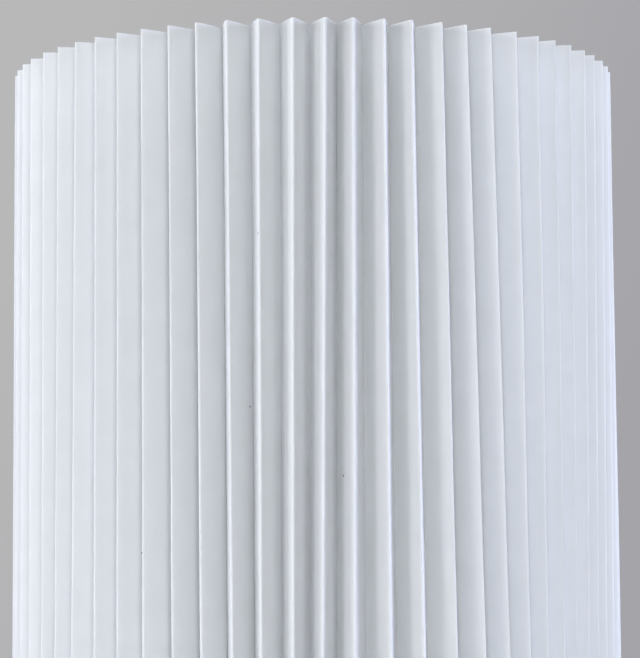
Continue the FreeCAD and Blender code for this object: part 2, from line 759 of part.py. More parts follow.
# ---------------------------------------------------------------- bulb holder
def make_holder():
    """Two-part plastic holder round a ceramic core."""
    cap = turned("holder_cap", [
        ("entry_radius + running_gap", HOLDER),
        ("holder_neck", HOLDER),
        ("holder_neck", f"{HOLDER} + neck_height"),
        ("holder_radius - shoulder_round", f"{HOLDER} + shoulder_height - shoulder_round"),
        ("holder_radius", f"{HOLDER} + shoulder_height"),
        ("holder_radius", SKIRT),
        ("holder_radius - holder_wall", SKIRT),
        ("holder_radius - holder_wall", f"{HOLDER} + pedestal_top"),
        ("core_radius + lead_gap", f"{HOLDER} + pedestal_top"),
        ("core_radius + lead_gap", f"{HOLDER} + core_bottom"),
        ("core_radius - shelf", f"{HOLDER} + core_bottom"),
        ("core_radius - shelf", f"{HOLDER} + shoulder_height"),
        ("holder_neck - 1", f"{HOLDER} + entry_height"),
        ("entry_radius + running_gap", f"{HOLDER} + entry_height"),
    ])
    grub_hole = sketch_on(cap, "YZ_Plane", "grub_hole", "holder_neck")
    draw_circle(grub_hole, "0", f"{HOLDER} + grub_level", "grub_radius + running_gap")
    pocket(cap, grub_hole, "holder_neck - entry_radius")
    keep(cap, "holder_cap")

    grub = cylinder("holder_grub_screw", "grub_radius", "grub_length",
                    "entry_radius + running_gap", "0", f"{HOLDER} + grub_level")
    grub.Placement.Rotation = Rotation(Vector(0, 1, 0), 90)
    keep(grub, "holder_grub_screw")

    entry = turned("holder_entry_nut", [
        ("stem_radius + thread_gap", HOLDER),
        ("entry_radius", HOLDER),
        ("entry_radius", f"{HOLDER} + entry_height"),
        ("entry_radius + entry_flange", f"{HOLDER} + entry_height"),
        ("entry_radius + entry_flange", f"{HOLDER} + entry_height + entry_flange"),
        ("stem_radius + thread_gap", f"{HOLDER} + entry_height + entry_flange"),
    ])
    keep(entry, "holder_entry_nut")

    core = turned("holder_core", [
        ("0", f"{HOLDER} + core_bottom"),
        ("core_radius", f"{HOLDER} + core_bottom"),
        ("core_radius", f"{HOLDER} + core_top"),
        ("pedestal_radius", f"{HOLDER} + core_top"),
        ("pedestal_radius", f"{HOLDER} + pedestal_top"),
        ("0", f"{HOLDER} + pedestal_top"),
    ])
    screw_level = f"({HOLDER} + core_bottom + terminal_level)"
    for side, name in ((1, "right"), (-1, "left")):
        terminal = sketch_on(core, "XY_Plane", f"terminal_hole_{name}", f"{HOLDER} + core_bottom")
        draw_circle(terminal, f"{side} * terminal_reach", "0", "lead_radius + lead_gap")
        pocket(core, terminal, "terminal_level", outwards=True)
        flat = sketch_on(core, "YZ_Plane", f"terminal_flat_{name}", f"{side} * core_radius")
        draw_circle(flat, "0", screw_level, "terminal_head + 0.3")
        pocket(core, flat, "terminal_flat", outwards=side < 0)
        tapped = sketch_on(core, "YZ_Plane", f"tapped_hole_{name}", f"{side} * core_radius")
        draw_circle(tapped, "0", screw_level, "terminal_screw + running_gap")
        pocket(core, tapped, "core_radius - terminal_reach - lead_radius", outwards=side < 0)
    keep(core, "holder_core")

    screw = turned("terminal_screw", [
        ("0", "terminal_reach + lead_radius + lead_gap"),
        ("terminal_screw", "terminal_reach + lead_radius + lead_gap"),
        ("terminal_screw", "core_radius - terminal_flat"),
        ("terminal_head", "core_radius - terminal_flat"),
        ("terminal_head", "core_radius - terminal_flat + terminal_head * 0.75"),
        ("0", "core_radius - terminal_flat + terminal_head * 0.75"),
    ])
    doc.recompute()
    copies = []
    for side in (1, -1):
        copy = doc.addObject("Part::Feature", "terminal_screw_copy")
        copy.Shape = screw.Shape
        copy.Placement = FreeCAD.Placement(Vector(0, 0, number(screw_level)),
                                           Rotation(Vector(0, 1, 0), 90 * side))
        copies.append(copy)
    screws = doc.addObject("Part::Compound", "holder_terminal_screws")
    screws.Links = copies
    keep(screws, "holder_terminal_screws")

    skirt = turned("holder_skirt", [
        ("holder_radius - holder_wall + lead_gap", SKIRT),
        ("holder_radius", SKIRT),
        ("holder_radius", f"{HOLDER} + skirt_top - 1"),
        ("holder_radius - 1", f"{HOLDER} + skirt_top"),
        ("holder_radius - skirt_mouth", f"{HOLDER} + skirt_top"),
        ("holder_radius - skirt_mouth", f"{HOLDER} + skirt_top - skirt_lip"),
        ("holder_radius - skirt_lip", f"{HOLDER} + skirt_top - 2 * skirt_lip"),
        ("holder_radius - skirt_lip", f"{HOLDER} + pedestal_top + 3"),
        ("core_radius - 1.4", f"{HOLDER} + pedestal_top + 3"),
        ("core_radius - 1.4", f"{HOLDER} + core_top"),
        ("core_radius - 0.2", f"{HOLDER} + core_top"),
        ("core_radius - 0.2", f"{HOLDER} + pedestal_top + 0.4"),
        ("holder_radius - holder_wall + lead_gap", f"{HOLDER} + pedestal_top + 0.4"),
    ])
    keep(skirt, "holder_skirt")

    # Sprung tongue that meets the bulb's tip.
    tongue = doc.addObject("PartDesign::Body", "centre_contact")
    side_view = sketch_on(tongue, "XZ_Plane", "tongue_side", "-tongue_width / 2")
    low = f"{HOLDER} + pedestal_top"
    high = f"{HOLDER} + contact_height"
    draw_outline(side_view, [
        ("-tongue_foot", low),
        ("-tongue_bend", low),
        ("tongue_rest", f"{high} - tongue_sheet"),
        ("tongue_end", f"{high} - tongue_sheet"),
        ("tongue_end", high),
        ("tongue_rest - tongue_sheet / 2", high),
        ("-tongue_bend - tongue_sheet / 2", f"{low} + tongue_sheet"),
        ("-tongue_foot", f"{low} + tongue_sheet"),
    ])
    width = tongue.newObject("PartDesign::Pad", "tongue_width")
    width.Profile = side_view
    width.setExpression("Length", cells("tongue_width"))
    doc.recompute()
    keep(tongue, "centre_contact")


def winding_circle(radius, level):
    """Horizontal circle whose centre winds round the axis as the level rises."""
    turn = 2 * math.pi * level / number("thread_pitch")
    swing = number("thread_swing")
    return Part.makeCircle(radius, Vector(swing * math.cos(turn), swing * math.sin(turn), level))


def lies_level(edge, level):
    """Whether an edge lies flat at a height."""
    low, high = edge.BoundBox.ZMin, edge.BoundBox.ZMax
    return abs(low - level) < 1e-3 and abs(high - level) < 1e-3


def threaded_shell(name, inner_radius, outer_radius, bottom, top):
    """Thin sheet tube with a round thread, right-handed."""
    steps_per_turn = 8
    rise = number("thread_pitch") / steps_per_turn
    steps = math.ceil((top - bottom) / rise)
    levels = [bottom + (top - bottom) * step / steps for step in range(steps + 1)]
    sides = []
    for radius in (inner_radius, outer_radius):
        rings = [Part.Wire([winding_circle(radius, level)]) for level in levels]
        sides.append(Part.makeLoft(rings, False, False))
    ends = []
    for level in (bottom, top):
        rims = []
        for side in sides:
            rims += [Part.Wire(edge) for edge in side.Edges if lies_level(edge, level)]
        ends.append(Part.makeFace(rims, "Part::FaceMakerBullseye"))
    skin = Part.makeCompound(sides[0].Faces + sides[1].Faces + ends)
    skin.sewShape()
    solid = Part.makeSolid(skin.Shells[0])
    return shaped(name, solid)


# ---------------------------------------------------------------- bulb
def make_bulb():
    """Opal bulb: tip and insulator, screw cap, collar, lit board and globe."""
    cap_inside = "thread_mean - thread_swing - cap_wall"
    tip = turned("bulb_tip_contact", [
        ("0", TIP),
        ("tip_face", TIP),
        ("tip_radius", f"{TIP} + tip_height / 2"),
        ("tip_radius", f"{TIP} + tip_height"),
        ("0", f"{TIP} + tip_height"),
    ])
    keep(tip, "bulb_tip_contact")
    insulator = turned("bulb_insulator", [
        ("0", f"{TIP} + tip_height"),
        ("tip_radius", f"{TIP} + tip_height"),
        ("insulator_radius", f"{CAP_BOTTOM} - thread_play"),
        (f"{cap_inside} - running_gap", CAP_BOTTOM),
        (f"{cap_inside} - running_gap", f"{CAP_BOTTOM} + insulator_plug"),
        ("0", f"{CAP_BOTTOM} + insulator_plug"),
    ])
    keep(insulator, "bulb_insulator")
    threaded_shell("bulb_screw_cap", number("thread_mean - cap_wall"), number("thread_mean"),
                   number(CAP_BOTTOM), number(CAP_TOP))
    threaded_shell("holder_screw_shell", number("thread_mean + thread_play"),
                   number("thread_mean + thread_play + shell_wall"),
                   number(f"{HOLDER} + core_top"), number(f"{HOLDER} + shell_top"))

    # The collar flares from the cap's rim to the globe's edge: shares of its rise and its spread.
    flare = [(0.00, 0.00), (0.14, 0.02), (0.34, 0.15), (0.56, 0.41), (0.78, 0.73)]
    edge = "sqrt(bulb_radius ^ 2 - globe_drop ^ 2)"
    start = "(thread_mean + thread_swing + cap_wall)"
    rise = f"({GLOBE_EDGE} - {CAP_TOP} - running_gap)"
    foot = f"({CAP_TOP} + running_gap)"
    outside = [(f"{start} + ({edge} - {start}) * {spread}", f"{foot} + {rise} * {share}")
               for share, spread in flare]
    inside = [(f"{radius} - collar_wall", f"{level} + collar_wall / 4")
              for radius, level in reversed(outside[2:])]
    collar = turned("bulb_collar", [
        (f"{cap_inside} - collar_wall", f"{CAP_TOP} - collar_plug"),
        (f"{cap_inside} - running_gap", f"{CAP_TOP} - collar_plug"),
        (f"{cap_inside} - running_gap", foot),
        *outside,
        (edge, GLOBE_EDGE),
        (f"{edge} - collar_wall", GLOBE_EDGE),
        *inside,
        (f"{cap_inside} - collar_wall", f"{foot} + {rise} * 0.16"),
    ])
    keep(collar, "bulb_collar")

    globe = doc.addObject("Part::Sphere", "globe_outside")
    globe.setExpression("Radius", cells("bulb_radius"))
    globe.setExpression("Angle1", cells(
        "-asin(globe_drop / bulb_radius)"))
    place(globe, z=GLOBE_CENTRE)
    hollow = doc.addObject("Part::Sphere", "globe_inside")
    hollow.setExpression("Radius", cells("bulb_radius - globe_wall"))
    place(hollow, z=GLOBE_CENTRE)
    keep(cut("bulb_globe", globe, hollow), "bulb_globe")

    board_top = f"({GLOBE_EDGE} - board_sink)"
    board = turned("led_board", [
        ("0", f"{board_top} - board_thickness"),
        (f"{edge} - 2 * collar_wall", f"{board_top} - board_thickness"),
        (f"{edge} - 2 * collar_wall", board_top),
        ("0", board_top),
    ])
    keep(board, "led_board")
    chip = box("led_chip", "chip_length", "chip_width", "chip_height", z=board_top)
    doc.recompute()
    group("led_chips", chip, "chip_circle", round(number("chip_count")))


# ---------------------------------------------------------------- dimmer and knob
def make_dimmer():
    """Rotary dimmer behind a thin wall of the base, with its bush, washer and nut."""
    middle = f"({PANEL_IN} - dimmer_depth / 2)"
    shell = box("dimmer_shell", "dimmer_width", "dimmer_depth", "dimmer_height",
                y=f"-{middle}", z="shaft_level - dimmer_height / 2")
    blind = cylinder("dimmer_blind", "shaft_radius + running_gap", "bush_nut")
    face_front(blind, f"{PANEL_IN} - bush_nut", "shaft_level")
    feed_hole = cylinder("dimmer_feed_hole", "lead_radius + lead_gap", "lead_entry",
                         "dimmer_width / 2 - lead_entry", f"-{middle}", "shaft_level")
    feed_hole.Placement.Rotation = Rotation(Vector(0, 1, 0), 90)
    load_hole = cylinder("dimmer_load_hole", "lead_radius + lead_gap", "lead_entry")
    face_front(load_hole)
    place(load_hole, "-dimmer_width / 4", f"-({PANEL_IN} - dimmer_depth)",
          "shaft_level - dimmer_height / 4")
    keep(cut("dimmer_module", shell, blind, feed_hole, load_hole), "dimmer_module")

    bush = turned("dimmer_bush", [
        ("shaft_radius + running_gap", "0"),
        ("bush_radius", "0"),
        ("bush_radius", "bush_length"),
        ("shaft_radius + running_gap", "bush_length"),
    ])
    keep(face_front(bush, PANEL_IN, "shaft_level"), "dimmer_bush")
    washer = turned("dimmer_washer", [
        ("bush_radius + thread_gap", "0"),
        ("bush_radius + bush_washer", "0"),
        ("bush_radius + bush_washer", "bush_washer_sheet"),
        ("bush_radius + thread_gap", "bush_washer_sheet"),
    ])
    keep(face_front(washer, PANEL_OUT, "shaft_level"), "dimmer_washer")
    blank = hexagon("dimmer_nut_blank", "nut_flats", "bush_nut")
    hole = cylinder("dimmer_nut_hole", "bush_radius + thread_gap", "bush_nut")
    nut = cut("dimmer_nut", blank, hole)
    keep(face_front(nut, f"{PANEL_OUT} + bush_washer_sheet", "shaft_level"), "dimmer_nut")


def make_knob():
    """Fluted wooden knob on its steel shaft, with a grub screw and a pointer pin."""
    knob = turned("dimmer_knob", [
        ("shaft_radius", "bush_length"),
        ("nut_flats / sqrt(3) + knob_skirt", "bush_length"),
        ("nut_flats / sqrt(3) + knob_skirt", "0"),
        ("knob_radius", "0"),
        ("knob_radius", "knob_length - knob_chamfer"),
        ("knob_radius - knob_chamfer", "knob_length"),
        ("0", "knob_length"),
        ("0", "knob_length - knob_face"),
        ("shaft_radius", "knob_length - knob_face"),
    ])
    flute = sketch_on(knob, "XY_Plane", "flute", "flute_start")
    draw_circle(flute, "knob_radius + flute_radius / 2", "0", "flute_radius")
    fluting = pocket(knob, flute, "knob_length", outwards=True)
    repeat(knob, fluting, "knob_flutes")
    pin_side = f"(knob_radius - pin_inset) * sin({DIAGONAL} deg)"
    pin_hole = sketch_on(knob, "XY_Plane", "pin_hole", "knob_length - pin_depth")
    draw_circle(pin_hole, f"-{pin_side}", f"-{pin_side}", "pin_radius")
    pocket(knob, pin_hole, "pin_depth", outwards=True)
    grub_hole = sketch_on(knob, "YZ_Plane", "knob_grub_hole", "knob_radius")
    draw_circle(grub_hole, "0", "bush_length + knob_grub_level", "grub_radius + running_gap")
    pocket(knob, grub_hole, "knob_radius")
    keep(face_front(knob, KNOB_START, "shaft_level"), "dimmer_knob")

    shaft_start = f"({PANEL_IN} - bush_nut / 2)"
    shaft_end = f"({KNOB_END} - knob_face - running_gap)"
    shaft = turned("dimmer_shaft", [
        ("0", shaft_start),
        ("shaft_radius", shaft_start),
        ("shaft_radius", f"{shaft_end} - thread_chamfer"),
        ("shaft_radius - thread_chamfer", shaft_end),
        ("0", shaft_end),
    ])
    keep(face_front(shaft, "0", "shaft_level"), "dimmer_shaft")
    pin = cylinder("pointer_pin", "pin_radius", "pin_depth + pin_proud")
    face_front(pin)
    place(pin, f"-{pin_side}", f"-({KNOB_END} - pin_depth)", f"shaft_level - {pin_side}")
    keep(pin, "pointer_pin")
    grub = cylinder("knob_grub_screw", "grub_radius", "knob_grub_length", "shaft_radius",
                    f"-({KNOB_START} + bush_length + knob_grub_level)", "shaft_level")
    grub.Placement.Rotation = Rotation(Vector(0, 1, 0), 90)
    keep(grub, "knob_grub_screw")


# ---------------------------------------------------------------- lead inlet and leads
def make_inlet():
    """Threaded gland with its dome nut outside and a lock nut inside."""
    seat = "(base_radius - gland_seat)"
    shoulder = f"({seat} + gland_collar)"
    gland = turned("inlet_gland", [
        ("gland_bore", f"{PANEL_IN} - gland_tail"),
        ("gland_radius", f"{PANEL_IN} - gland_tail"),
        ("gland_radius", shoulder),
        ("gland_bore", shoulder),
    ])
    keep(face_back(gland, "0", "gland_level"), "inlet_gland")
    dome = turned("gland_dome_nut", [
        ("gland_radius + thread_gap", seat),
        ("gland_flats / 2", seat),
        ("gland_flats / 2", shoulder),
        ("gland_bore + 2", "base_radius + gland_reach"),
        ("gland_bore", "base_radius + gland_reach"),
        ("gland_bore", f"{shoulder} + running_gap"),
        ("gland_radius + thread_gap", f"{shoulder} + running_gap"),
    ])
    grip = sketch_on(dome, "XY_Plane", "dome_grip", seat)
    draw_circle(grip, "gland_flats / 2 + grip_radius / 2", "0", "grip_radius")
    gripping = pocket(dome, grip, "gland_collar - 1", outwards=True)
    repeat(dome, gripping, "gland_grips")
    keep(face_back(dome, "0", "gland_level"), "gland_dome_nut")
    blank = hexagon("gland_nut_blank", "gland_flats", "gland_nut")
    hole = cylinder("gland_nut_hole", "gland_radius + thread_gap", "gland_nut")
    nut = cut("gland_lock_nut", blank, hole)
    keep(face_back(nut, f"{PANEL_IN} - gland_nut", "gland_level"), "gland_lock_nut")

    # Saddle under the web that would grip the mains lead.
    middle = f"({CAVITY} - clamp_clearance)"
    bottom = f"({CAVITY_TOP} - clamp_height)"
    saddle = box("saddle", "clamp_width", "clamp_depth", "clamp_height", y=middle, z=bottom)
    channel = cylinder("saddle_channel", "gland_bore", "clamp_depth")
    face_back(channel, f"{middle} - clamp_depth / 2", "gland_level")
    tools = [channel]
    screws = []
    for side in (-1, 1):
        across = f"{side} * clamp_width / 3"
        tools.append(cylinder("saddle_hole", "clamp_screw + running_gap", "clamp_height", across,
                              middle, bottom))
        shank = cylinder("saddle_shank", "clamp_screw", "clamp_height", across, middle, bottom)
        head = cylinder("saddle_head", "clamp_head", "clamp_head_height", across, middle,
                        f"{bottom} - clamp_head_height")
        screws.append(joined("saddle_screw", shank, head))
    keep(cut("lead_clamp", saddle, *tools), "lead_clamp")
    both = doc.addObject("Part::Compound", "lead_clamp_screws")
    both.Links = screws
    keep(both, "lead_clamp_screws")


BLOCK_Y = f"({CAVITY} - block_clearance)"
BLOCK_LEVEL = f"({CAVITY_TOP} - block_height)"
NEUTRAL_X = "(block_side - block_width / 4)"
NEUTRAL_LEVEL = f"({BLOCK_LEVEL} + lead_entry)"


def make_terminal_block():
    """Two-way block where the mains lead would meet the lamp's own leads."""
    block = box("block", "block_width", "block_depth", "block_height", "block_side", BLOCK_Y,
                BLOCK_LEVEL)
    live_hole = cylinder("live_hole", "lead_radius + lead_gap", "lead_entry",
                         "block_side + block_width / 2 - lead_entry", BLOCK_Y, "shaft_level")
    live_hole.Placement.Rotation = Rotation(Vector(0, 1, 0), 90)
    neutral_hole = cylinder("neutral_hole", "lead_radius + lead_gap", "lead_entry")
    face_front(neutral_hole)
    place(neutral_hole, NEUTRAL_X, f"{BLOCK_Y} - block_depth / 2 + lead_entry", NEUTRAL_LEVEL)
    slot = box("block_slot", "block_slot", "block_depth", "block_slot_depth", "block_side",
               BLOCK_Y, BLOCK_LEVEL)
    tools = [live_hole, neutral_hole, slot]
    screws = []
    for side in (-1, 1):
        across = f"block_side + {side} * block_width / 4"
        behind = f"{BLOCK_Y} + block_depth / 7"
        tools.append(cylinder("block_screw_hole", "block_screw + lead_gap",
                              "block_screw_length + block_screw_sink", across, behind,
                              BLOCK_LEVEL))
        screws.append(cylinder("block_screw", "block_screw", "block_screw_length", across,
                               behind, f"{BLOCK_LEVEL} + block_screw_sink"))
    keep(cut("terminal_block", block, *tools), "terminal_block")
    both = doc.addObject("Part::Compound", "terminal_block_screws")
    both.Links = screws
    keep(both, "terminal_block_screws")


def lead(name, points):
    """Round lead along straight runs, joined by arcs as large as the runs allow."""
    route = [Vector(*(number(part) for part in point)) for point in points]
    edges = []
    reached = route[0]
    for before, corner, after in zip(route, route[1:], route[2:]):
        first = (corner - before).normalize()
        second = (after - corner).normalize()
        turn = first.getAngle(second)
        tangent = 0.45 * min((corner - before).Length, (after - corner).Length)
        radius = tangent / math.tan(turn / 2)
        start = corner - first * tangent
        end = corner + second * tangent
        to_centre = (second - first).normalize()
        centre = corner + to_centre * (radius / math.cos(turn / 2))
        middle = centre - to_centre * radius
        edges.append(Part.LineSegment(reached, start).toShape())
        edges.append(Part.Arc(start, middle, end).toShape())
        print(f"{name}: turn {math.degrees(turn):.0f} deg, radius {radius:.1f} mm")
        reached = end
    edges.append(Part.LineSegment(reached, route[-1]).toShape())
    path = Part.Wire(edges)
    section = Part.makeCircle(number("lead_radius"), route[0], route[1] - route[0])
    solid = path.makePipeShell([Part.Wire([section])], True, True)
    wanted = math.pi * number("lead_radius") ** 2 * path.Length
    if abs(solid.Volume / wanted - 1) > 0.01:
        raise RuntimeError(f"{name} is not a clean tube")
    shaped(name, solid)


def make_leads():
    """Live to the dimmer, switched live and neutral up the stem to the holder."""
    floor = f"({COVER_TOP} + lead_radius + 1.4)"
    beside = "(lead_radius + lead_gap)"
    inside = "(lead_entry - lead_end_gap)"
    round_hollow = f"(({BALLAST} + {CAVITY}) / 2)"
    top = f"{HOLDER} + core_bottom"
    bottom_end = f"{top} + terminal_level - 0.5"
    around = [(f"{round_hollow} * cos({azimuth} deg)", f"{round_hollow} * sin({azimuth} deg)",
               "shaft_level") for azimuth in (18, -5, -28, -50)]
    start = "block_side + block_width / 2"
    dimmer_y = f"{PANEL_IN} - dimmer_depth / 2"
    lead("lead_live", [(f"{start} - {inside}", BLOCK_Y, "shaft_level"),
                       (f"{start} + 5", BLOCK_Y, "shaft_level"),
                       *around,
                       ("dimmer_width / 2 + 14", f"-({dimmer_y} - 1)", "shaft_level"),
                       (f"dimmer_width / 2 - {inside}", f"-({dimmer_y})", "shaft_level")])
    load_level = "(shaft_level - dimmer_height / 4)"
    load_x = "(-dimmer_width / 4)"
    load_y = f"(-({PANEL_IN} - dimmer_depth))"
    lead("lead_switched", [(load_x, f"{load_y} - {inside}", load_level),
                           (load_x, f"{load_y} + 14", f"{load_level} - 1"),
                           (f"{load_x} - 1", f"{load_y} + 32", f"{floor} + 1"),
                           (f"{load_x} + 1", f"{load_y} + 52", floor),
                           (f"-{beside} - 1", "-12", floor),
                           (f"-{beside}", "0", floor),
                           (f"-{beside}", "0", f"{top} - 6.5"),
                           ("-terminal_reach", "0", f"{top} - 2.5"),
                           ("-terminal_reach", "0", bottom_end)])
    face = f"({BLOCK_Y} - block_depth / 2)"
    lead("lead_neutral", [(NEUTRAL_X, f"{face} + {inside}", NEUTRAL_LEVEL),
                          (f"{NEUTRAL_X} - 0.5", f"{face} - 10", f"{NEUTRAL_LEVEL} - 0.5"),
                          (f"{NEUTRAL_X} - 6", f"{face} - 26", f"{floor} + 0.5"),
                          (f"{NEUTRAL_X} - 19", f"{face} - 42", floor),
                          (f"{beside} + 4", "11", floor),
                          (beside, "0", floor),
                          (beside, "0", f"{top} - 6.5"),
                          ("terminal_reach", "0", f"{top} - 2.5"),
                          ("terminal_reach", "0", bottom_end)])


# ---------------------------------------------------------------- build and write
make_paper()
make_frame()
make_top()
make_ring()
make_underside()
make_stem()
make_holder()
make_bulb()
make_dimmer()
make_knob()
make_inlet()
make_terminal_block()
make_leads()
doc.recompute()

for item in doc.Objects:
    if "Invalid" in item.State or "Error" in item.State:
        raise RuntimeError(f"{item.Label} has failed: {item.State}")
for piece in pieces:
    if piece.Shape.isNull() or not piece.Shape.isValid():
        raise RuntimeError(f"{piece.Label} has no valid shape")

os.makedirs("parts", exist_ok=True)
for piece in pieces:
    piece.Shape.exportStep(f"parts/{piece.Label}.step")
print(len(pieces), "pieces written")
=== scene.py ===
# %% [markdown]
# # A pleated paper table lamp
#
# The lamp is a column of white pleated paper that stands on a turned ash base. Its hard parts come
# from the CAD model and keep their shape, so this lesson only gives them their finishes. The paper
# is different: a folded sheet has rounded folds, a slight wave in every face and a thin cut edge,
# and a CAD solid shows none of that. So the paper is modelled here, strip by strip, over the CAD
# strips. All lengths are in metres, and the lamp's axis is the world's Z axis.

# %% Load the lamp's frame
import math
import random

import bmesh
import bpy
from mathutils import Matrix, Vector


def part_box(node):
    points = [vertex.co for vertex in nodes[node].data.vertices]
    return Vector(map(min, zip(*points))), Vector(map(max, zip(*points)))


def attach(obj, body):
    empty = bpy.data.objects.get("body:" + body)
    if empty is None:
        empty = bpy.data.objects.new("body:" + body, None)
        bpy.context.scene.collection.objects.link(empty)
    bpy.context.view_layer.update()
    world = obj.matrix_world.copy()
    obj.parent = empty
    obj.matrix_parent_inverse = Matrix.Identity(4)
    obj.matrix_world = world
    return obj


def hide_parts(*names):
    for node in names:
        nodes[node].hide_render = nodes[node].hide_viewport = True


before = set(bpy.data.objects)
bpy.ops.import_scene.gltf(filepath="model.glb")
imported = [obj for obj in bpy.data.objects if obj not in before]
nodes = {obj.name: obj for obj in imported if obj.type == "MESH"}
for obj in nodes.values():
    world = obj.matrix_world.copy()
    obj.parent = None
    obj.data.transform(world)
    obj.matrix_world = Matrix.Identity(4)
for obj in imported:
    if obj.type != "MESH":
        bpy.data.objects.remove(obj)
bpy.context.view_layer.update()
scene = bpy.context.scene
scene.view_settings.view_transform = "Standard"

# %% [markdown]
# ## Camera
#
# The photograph shows the upper part of the shade only, from a little below its rim. The ridge
# folds lie on an ellipse there, and its width and height give the distance: about eight times the
# shade's radius. The silhouettes lean outwards a little towards the bottom, so the camera is
# tilted up by some five degrees, and the rim slopes by less than half a degree, which is its roll.

# %% Camera
MM = 0.001
SHADE_RADIUS = 125 * MM
rim_level = max(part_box(f"paper_strip_{number}")[1].z for number in (1, 2, 3, 4))
hem_level = min(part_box(f"paper_strip_{number}")[0].z for number in (1, 2, 3, 4))
TILT_UP = math.radians(5.385)
ROLL = math.radians(-0.409)
DISTANCE = 8 * SHADE_RADIUS
ASIDE = 2.3 * MM
BELOW_RIM = 198.9 * MM

lens = bpy.data.cameras.new("photo_camera")
lens.sensor_width = 36
lens.lens = 131.0
lens.clip_start = 0.05
camera = bpy.data.objects.new("photo_camera", lens)
scene.collection.objects.link(camera)
stand = Matrix.Translation((ASIDE, -DISTANCE, rim_level - BELOW_RIM))
turn = Matrix.Rotation(math.radians(90) + TILT_UP, 4, "X") @ Matrix.Rotation(ROLL, 4, "Z")
camera.matrix_world = stand @ turn
scene.camera = camera
print("camera at", [round(part, 3) for part in camera.location])
print("shade from", round(hem_level, 4), "to", round(rim_level, 4), "m")

# %% [markdown]
# ## Node helper and colours
#
# Every finish below is a small tree of nodes. One function adds a node, sets it and plugs things
# into it, which keeps each tree short enough to read as a recipe. Colours are written as the hex
# codes that a paint chart or a picture editor shows, and one function turns them into the linear
# values that the renderer needs.


# %% Node helper and colours
def add(tree, kind, inputs=None, **settings):
    """Add a node, set it, and put a value or another node's output into each named input."""
    made = tree.nodes.new(kind)
    for name, value in settings.items():
        setattr(made, name, value)
    for name, value in (inputs or {}).items():
        if isinstance(value, bpy.types.NodeSocket):
            tree.links.new(value, made.inputs[name])
        else:
            made.inputs[name].default_value = value
    return made


def colour(code):
    """The linear colour of an sRGB hex code."""
    parts = [int(code[place:place + 2], 16) / 255 for place in (0, 2, 4)]
    linear = [part / 12.92 if part <= 0.04045 else ((part + 0.055) / 1.055) ** 2.4
              for part in parts]
    return (*linear, 1.0)


def per_metre(millimetres):
    """The scale of a texture whose features are this many millimetres across."""
    return 1000 / millimetres


print("the white of the paper is", [round(part, 3) for part in colour("e6e8ec")[:3]])

# %% [markdown]
# ## Studio
#
# The photograph was taken against plain grey paper. The world plays that backdrop: rays from the
# camera, and rays that a shiny or a clear surface sends on, see the grey, and the rest of the light
# is a dim even fill. That grey carries painted light: it is painted lighter towards the left, where
# the stronger light falls. The floor is a wide disc that fades into the backdrop, so no edge shows,
# and it keeps the lamp's shadow.

# %% Backdrop
world = bpy.data.worlds.new("grey_backdrop")
world.use_nodes = True
scene.world = world
tree = world.node_tree
tree.nodes.clear()
direction = add(tree, "ShaderNodeTexCoord").outputs["Generated"]
# Painted light: the backdrop's grey is made lighter towards the left, where the stronger light
# falls.
slant = add(tree, "ShaderNodeVectorMath", {0: direction, 1: (1, 0, -0.4)},
            operation="DOT_PRODUCT").outputs["Value"]
share = add(tree, "ShaderNodeMapRange", {"Value": slant, "From Min": -0.18, "From Max": 0.10})
painted_light_greys = add(tree, "ShaderNodeMix", {"Factor": share.outputs["Result"]}, data_type="RGBA")
painted_light_greys.inputs[6].default_value = colour("b8b8b9")
painted_light_greys.inputs[7].default_value = colour("a5a4a9")
fill = add(tree, "ShaderNodeBackground", {"Color": colour("eef1ff"), "Strength": 0.03})
seen = add(tree, "ShaderNodeBackground", {"Color": painted_light_greys.outputs[2], "Strength": 1.0})
path = add(tree, "ShaderNodeLightPath")
shiny = add(tree, "ShaderNodeMath", {0: path.outputs["Is Camera Ray"],
                                     1: path.outputs["Is Glossy Ray"]}, operation="MAXIMUM")
direct = add(tree, "ShaderNodeMath", {0: shiny.outputs[0],
                                      1: path.outputs["Is Transmission Ray"]}, operation="MAXIMUM")
choice = add(tree, "ShaderNodeMixShader", {0: direct.outputs[0], 1: fill.outputs[0],
                                           2: seen.outputs[0]})
add(tree, "ShaderNodeOutputWorld", {"Surface": choice.outputs[0]})
print("backdrop made of", len(tree.nodes), "nodes")

# %% Floor
bpy.ops.object.select_all(action="DESELECT")
bpy.ops.mesh.primitive_circle_add(vertices=96, radius=1.6, fill_type="NGON", location=(0, 0, 0))
floor = bpy.context.object
floor.name = "floor"

floor_paint = bpy.data.materials.new("matt_floor_paint")
floor_paint.use_nodes = True
tree = floor_paint.node_tree
tree.nodes.clear()
here = add(tree, "ShaderNodeTexCoord").outputs["Object"]
away = add(tree, "ShaderNodeVectorMath", {0: here}, operation="LENGTH").outputs["Value"]
fade = add(tree, "ShaderNodeMapRange", {"Value": away, "From Min": 0.45, "From Max": 1.45},
           interpolation_type="SMOOTHERSTEP")
path = add(tree, "ShaderNodeLightPath")
hide = add(tree, "ShaderNodeMath", {0: fade.outputs["Result"], 1: path.outputs["Is Camera Ray"]},
           operation="MULTIPLY")
mottle = add(tree, "ShaderNodeTexNoise", {"Vector": here, "Scale": per_metre(60), "Detail": 3.0})
tone = add(tree, "ShaderNodeMix", {"Factor": mottle.outputs[0]}, data_type="RGBA")
tone.inputs[6].default_value = colour("bcbcc0")
tone.inputs[7].default_value = colour("c2c2c6")
paint = add(tree, "ShaderNodeBsdfPrincipled", {"Base Color": tone.outputs[2], "Roughness": 0.8,
                                               "Specular IOR Level": 0.2})
clear = add(tree, "ShaderNodeBsdfTransparent")
mixed = add(tree, "ShaderNodeMixShader", {0: hide.outputs[0], 1: paint.outputs[0],
                                          2: clear.outputs[0]})
add(tree, "ShaderNodeOutputMaterial", {"Surface": mixed.outputs[0]})
floor.data.materials.append(floor_paint)
print("floor", round(floor.dimensions.x, 2), "m across")

